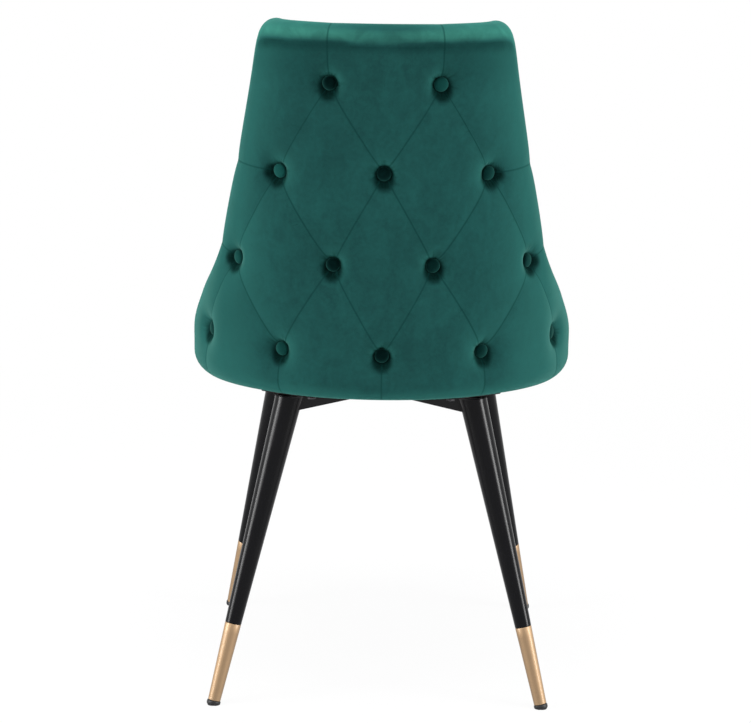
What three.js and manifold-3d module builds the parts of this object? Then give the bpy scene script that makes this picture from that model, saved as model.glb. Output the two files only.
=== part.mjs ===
// Upholstered dining chair with a deep-buttoned wrap-around back on four splayed steel legs.
// Millimetres, +Z up, the sitter faces -Y, and the origin is on the floor under the middle of the chair.
import * as THREE from 'three';
import { mergeVertices } from 'three/addons/utils/BufferGeometryUtils.js';
import Module from 'manifold-3d';

// ---- driving dimensions -----------------------------------------------------------------------------------

const fitGap = 0.3; // clearance between two pieces that touch
const layerGap = 0.5; // clearance between two curved layers, whose facets don't quite follow each other
const originShift = -6.45; // moves the whole chair from the middle between its feet onto the origin

// The padded shell. Each station is the plan section at one height: a half ellipse round the sitter's back,
// carried forward on both sides by nearly straight wings.
const shellStations = [
  { height: 400, halfWidth: 255.5, rear: 226, bow: 236 },
  { height: 440, halfWidth: 255.5, rear: 226, bow: 236 },
  { height: 475, halfWidth: 254.5, rear: 229, bow: 236 },
  { height: 520, halfWidth: 240, rear: 230, bow: 188 },
  { height: 582, halfWidth: 218, rear: 235, bow: 142 },
  { height: 698, halfWidth: 193, rear: 253, bow: 118 },
  { height: 800, halfWidth: 174, rear: 273, bow: 102 },
  { height: 890, halfWidth: 160, rear: 291, bow: 88 },
];
const shellFoot = 403; // underside of the shell
const shellFront = -258; // front ends of the wings
const wingNarrowing = 20; // how far each wing has closed in at its front end
const shellThickness = 48;
const rimRadius = shellThickness / 2;
const footRadius = 29; // rounding where the cover turns under the shell
const outerPadThickness = 20;
const plyThickness = 9;
const panelInset = 2; // the ply and the inner pad stop this much further in than the hollow that takes them

// The rim of the shell, from the middle of the top edge round to the front end of a wing.
const rimTopCentre = 883.5;
const rimTopRise = 3.5; // the corners stand this much higher than the middle
const rimCornerRadius = 22;
const rimSideEnd = 606; // height at which the upright side edge starts to sweep forward
const wingBend = { y: -128, height: 509 }; // where the sweep has levelled out
const wingFrontHeight = 500;
const cornerSpread = 28; // how far beyond the top corner the shoulders of the rim keep to its curve
const ribSlant = 0.36; // lean of the ribs under the side edge, as a slope
const footCrowding = 0.6; // spacing of the ribs' feet at the centre line, as a share of the even spacing

// Deep buttoning in a diamond lattice. Each row gives its buttons from the centre line out, alike on both
// sides: how far round the surface a button is, and its height.
const buttonRows = [
  [[72.5, 808]],
  [[0, 696], [143.5, 696]],
  [[66, 579], [218.5, 579]],
  [[0, 463], [140.5, 465], [293.5, 473]],
];
const buttonRadius = 9.2;
const buttonSink = 12; // depth of a button's face below the crest of the padding
const tuftRadius = 34; // reach of the dimple round a button

// Seat.
const boardThickness = 15;
const boardFoot = 406;
const boardTop = boardFoot + boardThickness;
const seatFront = -272;
const cushionMiddle = -25; // y of the top of the crown
const cushionReach = 230; // from the crown to the edge
const cushionRings = [
  { inset: 0, height: boardTop + fitGap },
  { inset: 0, height: 446 },
  { inset: 2.5, height: 454 },
  { inset: 8, height: 461 },
  { inset: 17, height: 466.5 },
  { inset: 36, height: 471.5 },
  { inset: 76, height: 475.5 },
  { inset: 140, height: 478 },
];
const dustCoverThickness = 1;
const dustCoverInset = 2;

// Underframe and legs.
const frameTop = 401; // top of the cross bars and of the legs
const barHeight = 20;
const barWidth = 32;
const barWall = 2;
const plateThickness = 3;
const legTopRadius = 18;
const legFootRadius = 8.1;
const legWall = 1.6;
const ferruleLength = 104; // brass-coloured sleeve, with the glide below it
const ferruleWall = 0.9;
const glideHeight = 5.5;
const glideRadius = 9;
const glideStemRadius = 4.9;
const glideStemLength = 16;
const legs = [
  { name: 'rear_left', foot: [214.2, 221.2], top: [118.7, 151.4] },
  { name: 'rear_right', foot: [-214.2, 221.2], top: [-118.7, 151.4] },
  { name: 'front_left', foot: [218.3, -221.2], top: [136.8, -135.4] },
  { name: 'front_right', foot: [-218.3, -221.2], top: [-136.8, -135.4] },
];
const plateWidth = 44;
const plateMargin = 11; // metal beyond each bolt
const plateCorner = 8;
const plateOffset = 8; // a plate's centre is this far inside its leg's axis
const lapLength = 60;
const boltSpacing = 60;
const boltShankRadius = 3;
const boltHeadRadius = 5.8;
const boltHeadHeight = 4;
const boltReach = 11; // how far a bolt goes up into the seat board

// ---- materials --------------------------------------------------------------------------------------------

const material = (color, roughness, metalness) =>
  new THREE.MeshStandardMaterial({ color, roughness, metalness });
const finishes = {
  velvet: material(0x1f5450, 0.9, 0),
  seatVelvet: material(0x235a55, 0.9, 0),
  plywood: material(0xc9a878, 0.7, 0),
  blackCloth: material(0x161616, 0.95, 0),
  blackSteel: material(0x17171a, 0.35, 0.6),
  paleGold: material(0xc6a27c, 0.3, 0.9),
  blackPlastic: material(0x1c1c1e, 0.55, 0),
  zincSteel: material(0x9a9c9f, 0.4, 0.9),
};

// ---- solids -----------------------------------------------------------------------------------------------

const wasm = await Module();
wasm.setup();

function toManifold(geometry) {
  const bare = geometry.clone();
  bare.deleteAttribute('normal');
  bare.deleteAttribute('uv');
  const merged = mergeVertices(bare, 1e-4);
  return new wasm.Manifold(new wasm.Mesh({
    numProp: 3,
    vertProperties: merged.attributes.position.array,
    triVerts: new Uint32Array(merged.index.array),
  }));
}

function toGeometry(solid) {
  const mesh = solid.getMesh();
  const geometry = new THREE.BufferGeometry();
  geometry.setAttribute('position', new THREE.BufferAttribute(new Float32Array(mesh.vertProperties), 3));
  geometry.setIndex(Array.from(mesh.triVerts));
  return geometry;
}

const subtract = (solid, ...tools) => tools.reduce((rest, tool) => rest.subtract(tool), solid);

const largestBody = (solid) => solid.decompose().sort((a, b) => b.volume() - a.volume())[0];

// A geometry of triangles from corner points, with repeated corners merged and flat slivers left out.
function closedGeometry(triangles) {
  const index = new Map();
  const positions = [];
  const faces = [];
  const cornerOf = (p) => {
    const key = p.map((v) => Math.round(v * 2000)).join();
    if (!index.has(key)) {
      index.set(key, positions.length / 3);
      positions.push(...p);
    }
    return index.get(key);
  };
  for (const triangle of triangles) {
    const [a, b, c] = triangle.map(cornerOf);
    if (a !== b && b !== c && c !== a) faces.push(a, b, c);
  }
  const geometry = new THREE.BufferGeometry();
  geometry.setAttribute('position', new THREE.Float32BufferAttribute(positions, 3));
  geometry.setIndex(faces);
  return geometry;
}

const quad = (a, b, c, d) => [[a, b, c], [a, c, d]];

// Skin between rings of equal point count, each ring seen counter-clockwise from the end of the stack,
// closed by a fan at both ends.
function loftRings(rings) {
  const triangles = [];
  const count = rings[0].length;
  for (let r = 0; r + 1 < rings.length; r += 1) {
    for (let i = 0; i < count; i += 1) {
      const j = (i + 1) % count;
      triangles.push(...quad(rings[r][i], rings[r][j], rings[r + 1][j], rings[r + 1][i]));
    }
  }
  const middle = (ring) => [0, 1, 2].map((k) => ring.reduce((sum, p) => sum + p[k], 0) / count);
  const first = rings[0];
  const last = rings[rings.length - 1];
  for (let i = 0; i < count; i += 1) {
    const j = (i + 1) % count;
    triangles.push([middle(first), first[j], first[i]]);
    triangles.push([middle(last), last[i], last[j]]);
  }
  return closedGeometry(triangles);
}

function cylinder(radius, from, to, segments = 20) {
  const axis = new THREE.Vector3().subVectors(to, from);
  const geometry = new THREE.CylinderGeometry(radius, radius, axis.length(), segments);
  geometry.rotateX(Math.PI / 2);
  geometry.translate(0, 0, axis.length() / 2);
  geometry.applyQuaternion(turnFromUp(axis));
  geometry.translate(from.x, from.y, from.z);
  return toManifold(geometry);
}

const turnFromUp = (axis) =>
  new THREE.Quaternion().setFromUnitVectors(new THREE.Vector3(0, 0, 1), axis.clone().normalize());

// Revolves a closed [radius, height] profile round +Z.
function revolve(profile, segments) {
  const points = profile.map(([radius, height]) => new THREE.Vector2(radius, height));
  const geometry = new THREE.LatheGeometry(points, segments);
  geometry.rotateX(Math.PI / 2);
  return geometry;
}

// A flat plate from an outline in X and Y, with its underside at the given height.
function plate(shape, height, thickness) {
  const options = { depth: thickness, bevelEnabled: false, curveSegments: 6 };
  const geometry = new THREE.ExtrudeGeometry(shape, options);
  geometry.translate(0, 0, height);
  return toManifold(geometry);
}

// ---- the shell surface ------------------------------------------------------------------------------------

// Smooth curve through the stations' values, with the slope at each station taken from its neighbours.
function stationValue(key, height) {
  const last = shellStations.length - 1;
  let k = shellStations.findIndex((station) => station.height > height) - 1;
  if (k < 0) k = height < shellStations[0].height ? 0 : last - 1;
  const slope = (i) => {
    const a = shellStations[Math.max(i - 1, 0)];
    const b = shellStations[Math.min(i + 1, last)];
    return (b[key] - a[key]) / (b.height - a.height);
  };
  const low = shellStations[k];
  const high = shellStations[k + 1];
  const span = high.height - low.height;
  const t = THREE.MathUtils.clamp((height - low.height) / span, 0, 1);
  const flatStart = low.height < 440 ? 0 : 1; // the foot of the shell stands upright
  const m0 = slope(k) * span * flatStart;
  const m1 = slope(k + 1) * span * flatStart;
  return (2 * t ** 3 - 3 * t ** 2 + 1) * low[key] + (t ** 3 - 2 * t ** 2 + t) * m0
    + (3 * t ** 2 - 2 * t ** 3) * high[key] + (t ** 3 - t ** 2) * m1;
}

const arcSteps = 40;
const sectionCache = new Map();

// The plan section at a height. Its quarter ellipse is measured once, so that points are found by arc length.
function sectionAt(height) {
  const key = Math.round(height * 100);
  if (!sectionCache.has(key)) {
    const halfWidth = stationValue('halfWidth', height);
    const bow = stationValue('bow', height);
    const middle = stationValue('rear', height) - bow;
    const lengths = [0];
    for (let i = 1; i <= arcSteps; i += 1) {
      const a = ((i - 1) / arcSteps) * (Math.PI / 2);
      const b = (i / arcSteps) * (Math.PI / 2);
      const dx = halfWidth * (Math.sin(b) - Math.sin(a));
      const dy = bow * (Math.cos(b) - Math.cos(a));
      lengths.push(lengths[i - 1] + Math.hypot(dx, dy));
    }
    sectionCache.set(key, { halfWidth, bow, middle, lengths, quarter: lengths[arcSteps] });
  }
  return sectionCache.get(key);
}

// Point on the shell at a signed arc length from the centre line, with the outward direction in plan.
function shellPoint(arc, height) {
  const { halfWidth, bow, middle, lengths, quarter } = sectionAt(height);
  const side = Math.sign(arc) || 1;
  const along = Math.abs(arc);
  let x;
  let y;
  let nx;
  let ny;
  if (along <= quarter) {
    let i = 0;
    while (i < arcSteps - 1 && lengths[i + 1] < along) i += 1;
    const share = (along - lengths[i]) / (lengths[i + 1] - lengths[i]);
    const angle = ((i + share) / arcSteps) * (Math.PI / 2);
    x = halfWidth * Math.sin(angle);
    y = middle + bow * Math.cos(angle);
    nx = bow * Math.sin(angle);
    ny = halfWidth * Math.cos(angle);
  } else {
    const reach = middle - shellFront;
    const u = (along - quarter) / reach;
    x = halfWidth - wingNarrowing * u * u;
    y = middle - reach * u;
    nx = reach;
    ny = -2 * wingNarrowing * u;
  }
  const size = Math.hypot(nx, ny);
  return { x: side * x, y, z: height, nx: (side * nx) / size, ny: ny / size };
}

const arcOfWing = (y, height) => {
  const { middle, quarter } = sectionAt(height);
  return quarter + middle - y;
};

const sunk = (point, depth) => [point.x - point.nx * depth, point.y - point.ny * depth, point.z];

// ---- rim and ribs -----------------------------------------------------------------------------------------

// One side of the rim as curves of arc length (x) and height (y), from the middle of the top edge forward to
// the wing, with the number of ribs that each stretch takes.
function rimStretches(wingEnd) {
  const sidePoint = (height) => new THREE.Vector2(sectionAt(height).quarter, height);
  const cornerHeight = rimTopCentre + rimTopRise;
  const topCentre = new THREE.Vector2(0, rimTopCentre);
  const sideTop = sidePoint(cornerHeight - rimCornerRadius);
  const cornerStart = new THREE.Vector2(sideTop.x - rimCornerRadius, cornerHeight);
  const sideEnd = sidePoint(rimSideEnd);
  const bend = new THREE.Vector2(arcOfWing(wingBend.y, wingBend.height), wingBend.height);
  const sideHeights = [0, 0.25, 0.5, 0.75, 1].map((t) => THREE.MathUtils.lerp(sideTop.y, rimSideEnd, t));
  const shelf = bend.distanceTo(sideEnd);
  const wingTip = new THREE.Vector2(arcOfWing(wingEnd, wingFrontHeight), wingFrontHeight);
  return [
    {
      ribs: 4,
      curve: new THREE.CubicBezierCurve(
        topCentre,
        new THREE.Vector2(cornerStart.x * 0.45, rimTopCentre),
        new THREE.Vector2(cornerStart.x * 0.75, rimTopCentre + rimTopRise * 0.6),
        cornerStart,
      ),
    },
    {
      ribs: 4,
      curve: new THREE.CubicBezierCurve(
        cornerStart,
        new THREE.Vector2(cornerStart.x + rimCornerRadius * 0.55, cornerHeight + 1.5),
        new THREE.Vector2(sideTop.x - 1.5, sideTop.y + rimCornerRadius * 0.5),
        sideTop,
      ),
    },
    { ribs: 5, curve: new THREE.SplineCurve(sideHeights.map(sidePoint)) },
    {
      ribs: 6,
      curve: new THREE.CubicBezierCurve(
        sideEnd,
        new THREE.Vector2(sideEnd.x + shelf * 0.06, sideEnd.y - shelf * 0.24),
        new THREE.Vector2(bend.x - shelf * 0.5, bend.y + shelf * 0.05),
        bend,
      ),
    },
    {
      ribs: 3,
      curve: new THREE.LineCurve(bend, wingTip),
    },
  ];
}

// The shoulder is where the rolled rim starts, a rim's depth in from the edge. The top corner turns more
// sharply than the rim is deep, so the shoulders near it are spread out along a curve of their own.
const squareShoulder = (top, way) =>
  top.clone().addScaledVector(new THREE.Vector2(way.y, -way.x), rimRadius);

function cornerShoulders(stretches, lengths) {
  const before = (lengths[0] - cornerSpread) / lengths[0];
  const after = cornerSpread / lengths[2];
  const startWay = stretches[0].curve.getTangentAt(before);
  const endWay = stretches[2].curve.getTangentAt(after);
  const start = squareShoulder(stretches[0].curve.getPointAt(before), startWay);
  const end = squareShoulder(stretches[2].curve.getPointAt(after), endWay);
  const between = end.clone().sub(start);
  const reach = between.cross(endWay) / startWay.cross(endWay);
  return new THREE.QuadraticBezierCurve(start, start.clone().addScaledVector(startWay, reach), end);
}

// A rib rises upright from the foot of the shell to its shoulder, and goes on straight over the rim.
function ribBetween(footArc, shoulder, top, pastCorner) {
  const foot = new THREE.Vector2(footArc, shellFoot);
  const length = foot.distanceTo(shoulder);
  const onSide = (1 + Math.tanh((pastCorner + 30) / 50)) / 2;
  const slant = ribSlant * onSide * (1 - THREE.MathUtils.clamp((pastCorner - 200) / 250, 0, 1));
  const fall = new THREE.Vector2(-slant, -1).normalize();
  const rib = new THREE.CurvePath();
  rib.arcLengthDivisions = 400;
  rib.add(new THREE.CubicBezierCurve(
    foot,
    new THREE.Vector2(foot.x, foot.y + length * 0.35),
    shoulder.clone().addScaledVector(fall, length * 0.3),
    shoulder,
  ));
  rib.add(new THREE.LineCurve(shoulder, top));
  return { rib, band: shoulder.distanceTo(top) };
}

// The ribs of one side, from the centre line forward. With no inset they go on round the nose of the wing.
function sideRibs(inset) {
  const stretches = rimStretches(shellFront + Math.max(inset, rimRadius));
  const lengths = stretches.map(({ curve }) => curve.getLength());
  const backLength = lengths[0] + lengths[1] + lengths[2];
  const backFoot = arcOfWing(sectionAt(rimSideEnd).middle, shellFoot);
  const corner = cornerShoulders(stretches, lengths);
  const ribs = [];
  let passed = 0;
  stretches.forEach(({ curve, ribs: count }, s) => {
    for (let i = s === 0 ? 0 : 1; i <= count; i += 1) {
      const top = curve.getPointAt(i / count);
      const along = passed + (lengths[s] * i) / count;
      const section = sectionAt(top.y);
      const wingY = section.middle - (top.x - section.quarter);
      const share = along / backLength;
      const backArc = backFoot * share * (footCrowding + (1 - footCrowding) * share);
      const footArc = s < 3 ? backArc : arcOfWing(wingY, shellFoot);
      const turn = (along - lengths[0] + cornerSpread) / (lengths[1] + 2 * cornerSpread);
      const square = squareShoulder(top, curve.getTangentAt(i / count));
      const shoulder = turn > 0 && turn < 1 ? corner.getPoint(turn) : square;
      ribs.push(ribBetween(footArc, shoulder, top, along - lengths[0] - lengths[1] / 2));
    }
    passed += lengths[s];
  });
  if (inset === 0) {
    for (const angle of [0.25, 0.5, 0.75, 1].map((t) => (t * Math.PI) / 2)) {
      const y = shellFront + rimRadius * (1 - Math.sin(angle));
      const height = wingFrontHeight - rimRadius * (1 - Math.cos(angle));
      const top = new THREE.Vector2(arcOfWing(y, height), height);
      const shoulder = squareShoulder(top, new THREE.Vector2(1, 0));
      ribs.push(ribBetween(arcOfWing(y, shellFoot), shoulder, top, passed));
    }
  }
  return ribs;
}

// Depth of a quarter round at a distance from its edge.
function roundDepth(radius, distance) {
  if (distance >= radius) return 0;
  return radius - Math.sqrt(radius ** 2 - (radius - Math.max(distance, 0)) ** 2);
}

const roundRows = [0, 0.25, 0.5, 0.75, 1].map((t) => 1 - Math.cos((t * Math.PI) / 2));
const middleRows = 6;

// Distances along a rib at which the shell has its rows: close together round the foot and over the rim.
function rowSteps(length, band, inset, footHeight) {
  const panelFoot = boardTop + fitGap - shellFoot;
  const low = inset === 0 ? footRadius : panelFoot;
  const high = length - (inset === 0 ? band : (inset / rimRadius) * band);
  const middle = [];
  for (let i = 1; i < middleRows; i += 1) middle.push(THREE.MathUtils.lerp(low, high, i / middleRows));
  const start = footHeight - shellFoot;
  if (inset !== 0) return start < panelFoot ? [start, panelFoot, ...middle, high] : [start, ...middle, high];
  const footRows = roundRows.map((share) => share * footRadius);
  const rimRows = roundRows.map((share) => length - share * band).reverse();
  return [...footRows, ...middle, ...rimRows];
}

// A grid of points over the shell, as columns from one wing to the other, each from the foot to the rim.
function shellGrid(inset = 0, footHeight = shellFoot) {
  const side = sideRibs(inset).map(({ rib, band }) => {
    const length = rib.getLength();
    return rowSteps(length, band, inset, footHeight).map((step) => {
      const place = rib.getPointAt(THREE.MathUtils.clamp(step / length, 0, 1));
      const point = shellPoint(place.x, place.y);
      const fromRim = ((length - step) * rimRadius) / band;
      return { ...point, arc: place.x, fromRim, fromFoot: place.y - shellFoot };
    });
  });
  const mirrored = side.slice(1).reverse().map((column) =>
    column.map((point) => ({ ...point, arc: -point.arc, x: -point.x, nx: -point.nx })));
  return [...mirrored, ...side];
}

// Closed solid between two depths below the shell surface.
function shellLayer(grid, outerDepth, innerDepth) {
  const outer = grid.map((column) => column.map((point) => sunk(point, outerDepth(point))));
  const inner = grid.map((column) => column.map((point) => sunk(point, innerDepth(point))));
  const lastColumn = grid.length - 1;
  const lastRow = grid[0].length - 1;
  const triangles = [];
  for (let i = 0; i < lastColumn; i += 1) {
    const j = i + 1;
    for (let k = 0; k < lastRow; k += 1) {
      const risingSpan = Math.abs(grid[i][k].arc - grid[j][k + 1].arc);
      const fallingSpan = Math.abs(grid[i][k + 1].arc - grid[j][k].arc);
      const outside = [outer[i][k], outer[i][k + 1], outer[j][k + 1], outer[j][k]];
      const inside = [inner[i][k], inner[j][k], inner[j][k + 1], inner[i][k + 1]];
      for (const corners of [outside, inside]) {
        if (risingSpan > fallingSpan) corners.push(corners.shift());
        triangles.push(...quad(...corners));
      }
    }
    triangles.push(...quad(outer[i][0], outer[j][0], inner[j][0], inner[i][0]));
    triangles.push(...quad(outer[i][lastRow], inner[i][lastRow], inner[j][lastRow], outer[j][lastRow]));
  }
  for (let k = 0; k < lastRow; k += 1) {
    const [tipOut, tipIn] = [outer[lastColumn], inner[lastColumn]];
    triangles.push(...quad(outer[0][k], inner[0][k], inner[0][k + 1], outer[0][k + 1]));
    triangles.push(...quad(tipOut[k], tipOut[k + 1], tipIn[k + 1], tipIn[k]));
  }
  return toManifold(closedGeometry(triangles));
}

// Plan outline inside the shell at a depth, closed across the front at frontY.
function planOutline(depth, frontY) {
  const feet = shellGrid(rimRadius + fitGap, boardFoot).map((column) => sunk(column[0], depth));
  const sides = feet.filter((p) => p[1] > frontY + 1);
  const first = sides[0];
  const last = sides[sides.length - 1];
  return [...sides, [last[0], frontY], [first[0], frontY]].map(([x, y]) => new THREE.Vector2(x, y));
}

// ---- the padded shell -------------------------------------------------------------------------------------

const plyDepth = outerPadThickness + layerGap;
const innerPadDepth = plyDepth + plyThickness + layerGap;
const boardDepth = innerPadDepth + fitGap;

// Rounding of the whole upholstered shell: round the rim, round the noses of the wings and under the foot.
const edgeDepth = (point) =>
  Math.max(roundDepth(rimRadius, point.fromRim), roundDepth(rimRadius, point.y - shellFront));
const coverDepth = (point) => Math.max(edgeDepth(point), roundDepth(footRadius, point.fromFoot));

// Local frame of the shell surface, for what is fixed square to it.
function surfaceFrame(arc, height) {
  const step = 2;
  const at = (a, h) => {
    const point = shellPoint(a, h);
    return new THREE.Vector3(point.x, point.y, point.z);
  };
  const across = at(arc + step, height).sub(at(arc - step, height));
  const up = at(arc, height + step).sub(at(arc, height - step));
  const outward = up.clone().cross(across).normalize();
  if (outward.y < 0) outward.negate();
  return { point: at(arc, height), outward };
}

function placedOnSurface(geometry, { point, outward }, depth) {
  geometry.applyQuaternion(turnFromUp(outward));
  geometry.translate(...point.clone().addScaledVector(outward, -depth).toArray());
  return geometry;
}

const buttonPlaces = buttonRows.flatMap((oneSide, row) => {
  const otherSide = oneSide.filter(([arc]) => arc > 0).map(([arc, height]) => [-arc, height]);
  return [...otherSide.reverse(), ...oneSide].map(([arc, height], i) => ({
    name: `button_row${row + 1}_${i + 1}`,
    frame: surfaceFrame(arc, height),
  }));
});

const buttonBody = 5.5; // thickness of the covered button behind its domed face
const buttonDome = 2.5;
const tackRadius = 1.5;
const tackReach = outerPadThickness + 6; // depth to which the button's tack goes, into the ply

// Covered button with its tack, its face dome towards +Z and the rim of the face at z = 0.
function buttonGeometry() {
  const back = -buttonBody;
  const tip = -(tackReach - buttonSink);
  return revolve([
    [0, tip],
    [tackRadius, tip],
    [tackRadius, back],
    [buttonRadius * 0.82, back],
    [buttonRadius, -1.2],
    [buttonRadius * 0.8, buttonDome * 0.6],
    [0, buttonDome],
  ], 12);
}

// What a button takes out of the padding: a dimple that narrows to a snug seat, and the hole for its tack.
function dimpleTool(frame) {
  const seat = buttonRadius + fitGap;
  const geometry = revolve([
    [0, -outerPadThickness - 4],
    [tackRadius + fitGap, -outerPadThickness - 4],
    [tackRadius + fitGap, -buttonSink - buttonBody - fitGap],
    [seat, -buttonSink - buttonBody - fitGap],
    [seat + 0.5, -buttonSink + 1],
    [tuftRadius * 0.55, -4.5],
    [tuftRadius, 1.5],
    [tuftRadius, 9],
    [0, 9],
  ], 12);
  return toManifold(placedOnSurface(geometry, frame, 0));
}

const plyFoot = boardFoot + 1.5;

function outerPad() {
  const body = shellLayer(shellGrid(), coverDepth, (point) => shellThickness - edgeDepth(point));
  const pocket = shellLayer(
    shellGrid(rimRadius, plyFoot - fitGap),
    () => outerPadThickness,
    () => shellThickness + 4,
  );
  const hollow = new THREE.Shape(planOutline(plyDepth + plyThickness, shellFront + rimRadius));
  const core = plate(hollow, shellFoot - 5, 30);
  return largestBody(subtract(body, pocket, core, ...buttonPlaces.map(({ frame }) => dimpleTool(frame))));
}

const plyScrewHeight = boardFoot + boardThickness / 2;
const plyScrewArcs = [-330, -190, -60, 60, 190, 330];
const plyScrewRadius = 2;
const plyScrewHead = 4;
const plyScrewLength = 30;
const plyScrewDepth = plyDepth + 1;

// Countersunk wood screw along +Z, its head flush with z = 0. "grow" widens it into the hole that takes it,
// which also goes on a little past the head, so that the tool breaks through the face of the ply.
function screwGeometry(grow) {
  const past = grow * 6;
  return revolve([
    [0, -plyScrewLength - grow],
    [0.6 + grow, -plyScrewLength - grow],
    [plyScrewRadius + grow, -plyScrewLength + 5],
    [plyScrewRadius + grow, -2.6],
    [plyScrewHead + grow, -0.4],
    [plyScrewHead + grow, past],
    [0, past],
  ], 12);
}

const plyScrewFrames = plyScrewArcs.map((arc) => {
  const frame = surfaceFrame(arc, plyScrewHeight);
  frame.outward.setZ(0).normalize();
  return frame;
});
const plyScrewHoles = plyScrewFrames.map((frame) =>
  toManifold(placedOnSurface(screwGeometry(fitGap), frame, plyScrewDepth)));

function plyBack() {
  const sheet = shellLayer(
    shellGrid(rimRadius + panelInset, plyFoot),
    () => plyDepth,
    () => plyDepth + plyThickness,
  );
  const tackHoles = buttonPlaces.map(({ frame: { point, outward } }) => {
    const from = point.clone().addScaledVector(outward, 5);
    const to = point.clone().addScaledVector(outward, -(tackReach + fitGap));
    return cylinder(tackRadius + fitGap, from, to, 10);
  });
  return subtract(sheet, ...plyScrewHoles, ...tackHoles);
}

function innerPad() {
  return shellLayer(
    shellGrid(rimRadius + panelInset, boardTop + fitGap),
    () => innerPadDepth,
    () => shellThickness,
  );
}

// ---- seat -------------------------------------------------------------------------------------------------

const seatNeck = shellFront + rimRadius + fitGap; // the noses of the wings stand in front of it

// Where each leg's plate and its two bolts sit under the board.
const legSeats = legs.map((leg) => {
  const inward = new THREE.Vector2(-leg.top[0], -leg.top[1]).normalize();
  const across = new THREE.Vector2(-inward.y, inward.x);
  const centre = new THREE.Vector2(...leg.top).addScaledVector(inward, plateOffset);
  const bolts = [-1, 1].map((side) => centre.clone().addScaledVector(across, (side * boltSpacing) / 2));
  return { ...leg, centre, inward, across, bolts };
});

const plateFoot = frameTop + fitGap;
const boltTop = plateFoot + plateThickness + boltReach;
const boltHoles = legSeats.flatMap(({ bolts }) => bolts).map(({ x, y }) => {
  const from = new THREE.Vector3(x, y, frameTop - barHeight);
  return cylinder(boltShankRadius + fitGap, from, new THREE.Vector3(x, y, boltTop + fitGap), 10);
});

// The board is notched at its front corners, where the padded noses of the wings stand.
function seatBoard() {
  const body = planOutline(boardDepth, seatNeck);
  const [right, left] = planOutline(shellThickness + fitGap, shellFront).slice(-2);
  const shape = new THREE.Shape([
    ...body.slice(0, -1),
    new THREE.Vector2(right.x, seatNeck),
    right,
    left,
    new THREE.Vector2(left.x, seatNeck),
    body[body.length - 1],
  ]);
  return subtract(plate(shape, boardFoot, boardThickness), ...boltHoles, ...plyScrewHoles);
}

function dustCover() {
  const shape = new THREE.Shape(planOutline(boardDepth + dustCoverInset, seatNeck + dustCoverInset));
  return subtract(plate(shape, boardFoot - fitGap - dustCoverThickness, dustCoverThickness), ...boltHoles);
}

// Foam seat with a crowned top and a rounded front that hangs over the edge of the board as a lip.
function seatCushion() {
  const sides = planOutline(shellThickness + fitGap, shellFront).slice(0, -2);
  const edge = sides[sides.length - 1].x - 1;
  const corner = shellFront - seatFront;
  const arc = [0.25, 0.5, 0.75, 1].map((t) => (t * Math.PI) / 2);
  const right = arc.map((a) => new THREE.Vector2(
    edge - corner * (1 - Math.cos(a)),
    shellFront - corner * Math.sin(a),
  ));
  const front = [0.5, 0, -0.5].map((share) => new THREE.Vector2(share * edge, seatFront));
  const left = right.slice().reverse().map(({ x, y }) => new THREE.Vector2(-x, y));
  const noseSides = [new THREE.Vector2(edge, shellFront), new THREE.Vector2(-edge, shellFront)];
  const outline = [...sides, noseSides[0], ...right, ...front, ...left, noseSides[1]].reverse();
  const rings = cushionRings.map(({ inset, height }) => {
    const scale = 1 - inset / cushionReach;
    return outline.map(({ x, y }) => [x * scale, cushionMiddle + (y - cushionMiddle) * scale, height]);
  });
  const lipFoot = shellFoot + 1;
  const lip = new THREE.BoxGeometry(2 * (edge - corner), corner - fitGap, cushionRings[1].height - lipFoot);
  lip.translate(0, (seatFront + shellFront - fitGap) / 2, (cushionRings[1].height + lipFoot) / 2);
  return toManifold(loftRings(rings)).add(toManifold(lip));
}

// ---- legs and underframe ----------------------------------------------------------------------------------

function legAxis({ foot, top }) {
  const from = new THREE.Vector3(...foot, 0);
  const to = new THREE.Vector3(...top, frameTop);
  const axis = new THREE.Vector3().subVectors(to, from);
  return { from, axis, length: axis.length() };
}

// Radius of a leg of a given length, at a distance along its axis from the floor.
const legRadius = (along, length) => THREE.MathUtils.lerp(legFootRadius, legTopRadius, along / length);

function placedOnLeg(geometry, leg) {
  const { from, axis } = legAxis(leg);
  geometry.applyQuaternion(turnFromUp(axis));
  geometry.translate(...from.toArray());
  return toManifold(geometry);
}

// A block that fills everything between two heights, to trim a leg piece level.
function levelBlock(low, high) {
  const block = new THREE.BoxGeometry(800, 800, high - low);
  block.translate(0, 0, (low + high) / 2);
  return toManifold(block);
}

const legOverrun = 14; // the tube is made this much too long and cut level under its plate
const glideTop = glideHeight;
const ferruleTop = glideTop + ferruleLength;

// Tapered steel tube, with a thinner spigot at its lower end that the sleeve covers.
function legTube(leg) {
  const { length } = legAxis(leg);
  const end = length + legOverrun;
  const spigot = (along) => legRadius(along, length) - ferruleWall - fitGap;
  const start = glideTop + fitGap;
  const tube = revolve([
    [spigot(start) - legWall, start],
    [spigot(start), start],
    [spigot(ferruleTop), ferruleTop],
    [legRadius(ferruleTop, length), ferruleTop],
    [legRadius(end, length), end],
    [legRadius(end, length) - legWall, end],
    [spigot(ferruleTop) - legWall, ferruleTop],
    [spigot(start) - legWall, start],
  ], 24);
  return subtract(placedOnLeg(tube, leg), levelBlock(frameTop, frameTop + 60));
}

// Thin brass-coloured sleeve over the spigot, flush with the tube above it.
function ferrule(leg) {
  const { length } = legAxis(leg);
  const low = glideTop + fitGap;
  const high = ferruleTop - fitGap;
  return placedOnLeg(revolve([
    [legRadius(low, length) - ferruleWall, low],
    [legRadius(low, length), low],
    [legRadius(high, length), high],
    [legRadius(high, length) - ferruleWall, high],
    [legRadius(low, length) - ferruleWall, low],
  ], 24), leg);
}

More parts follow.
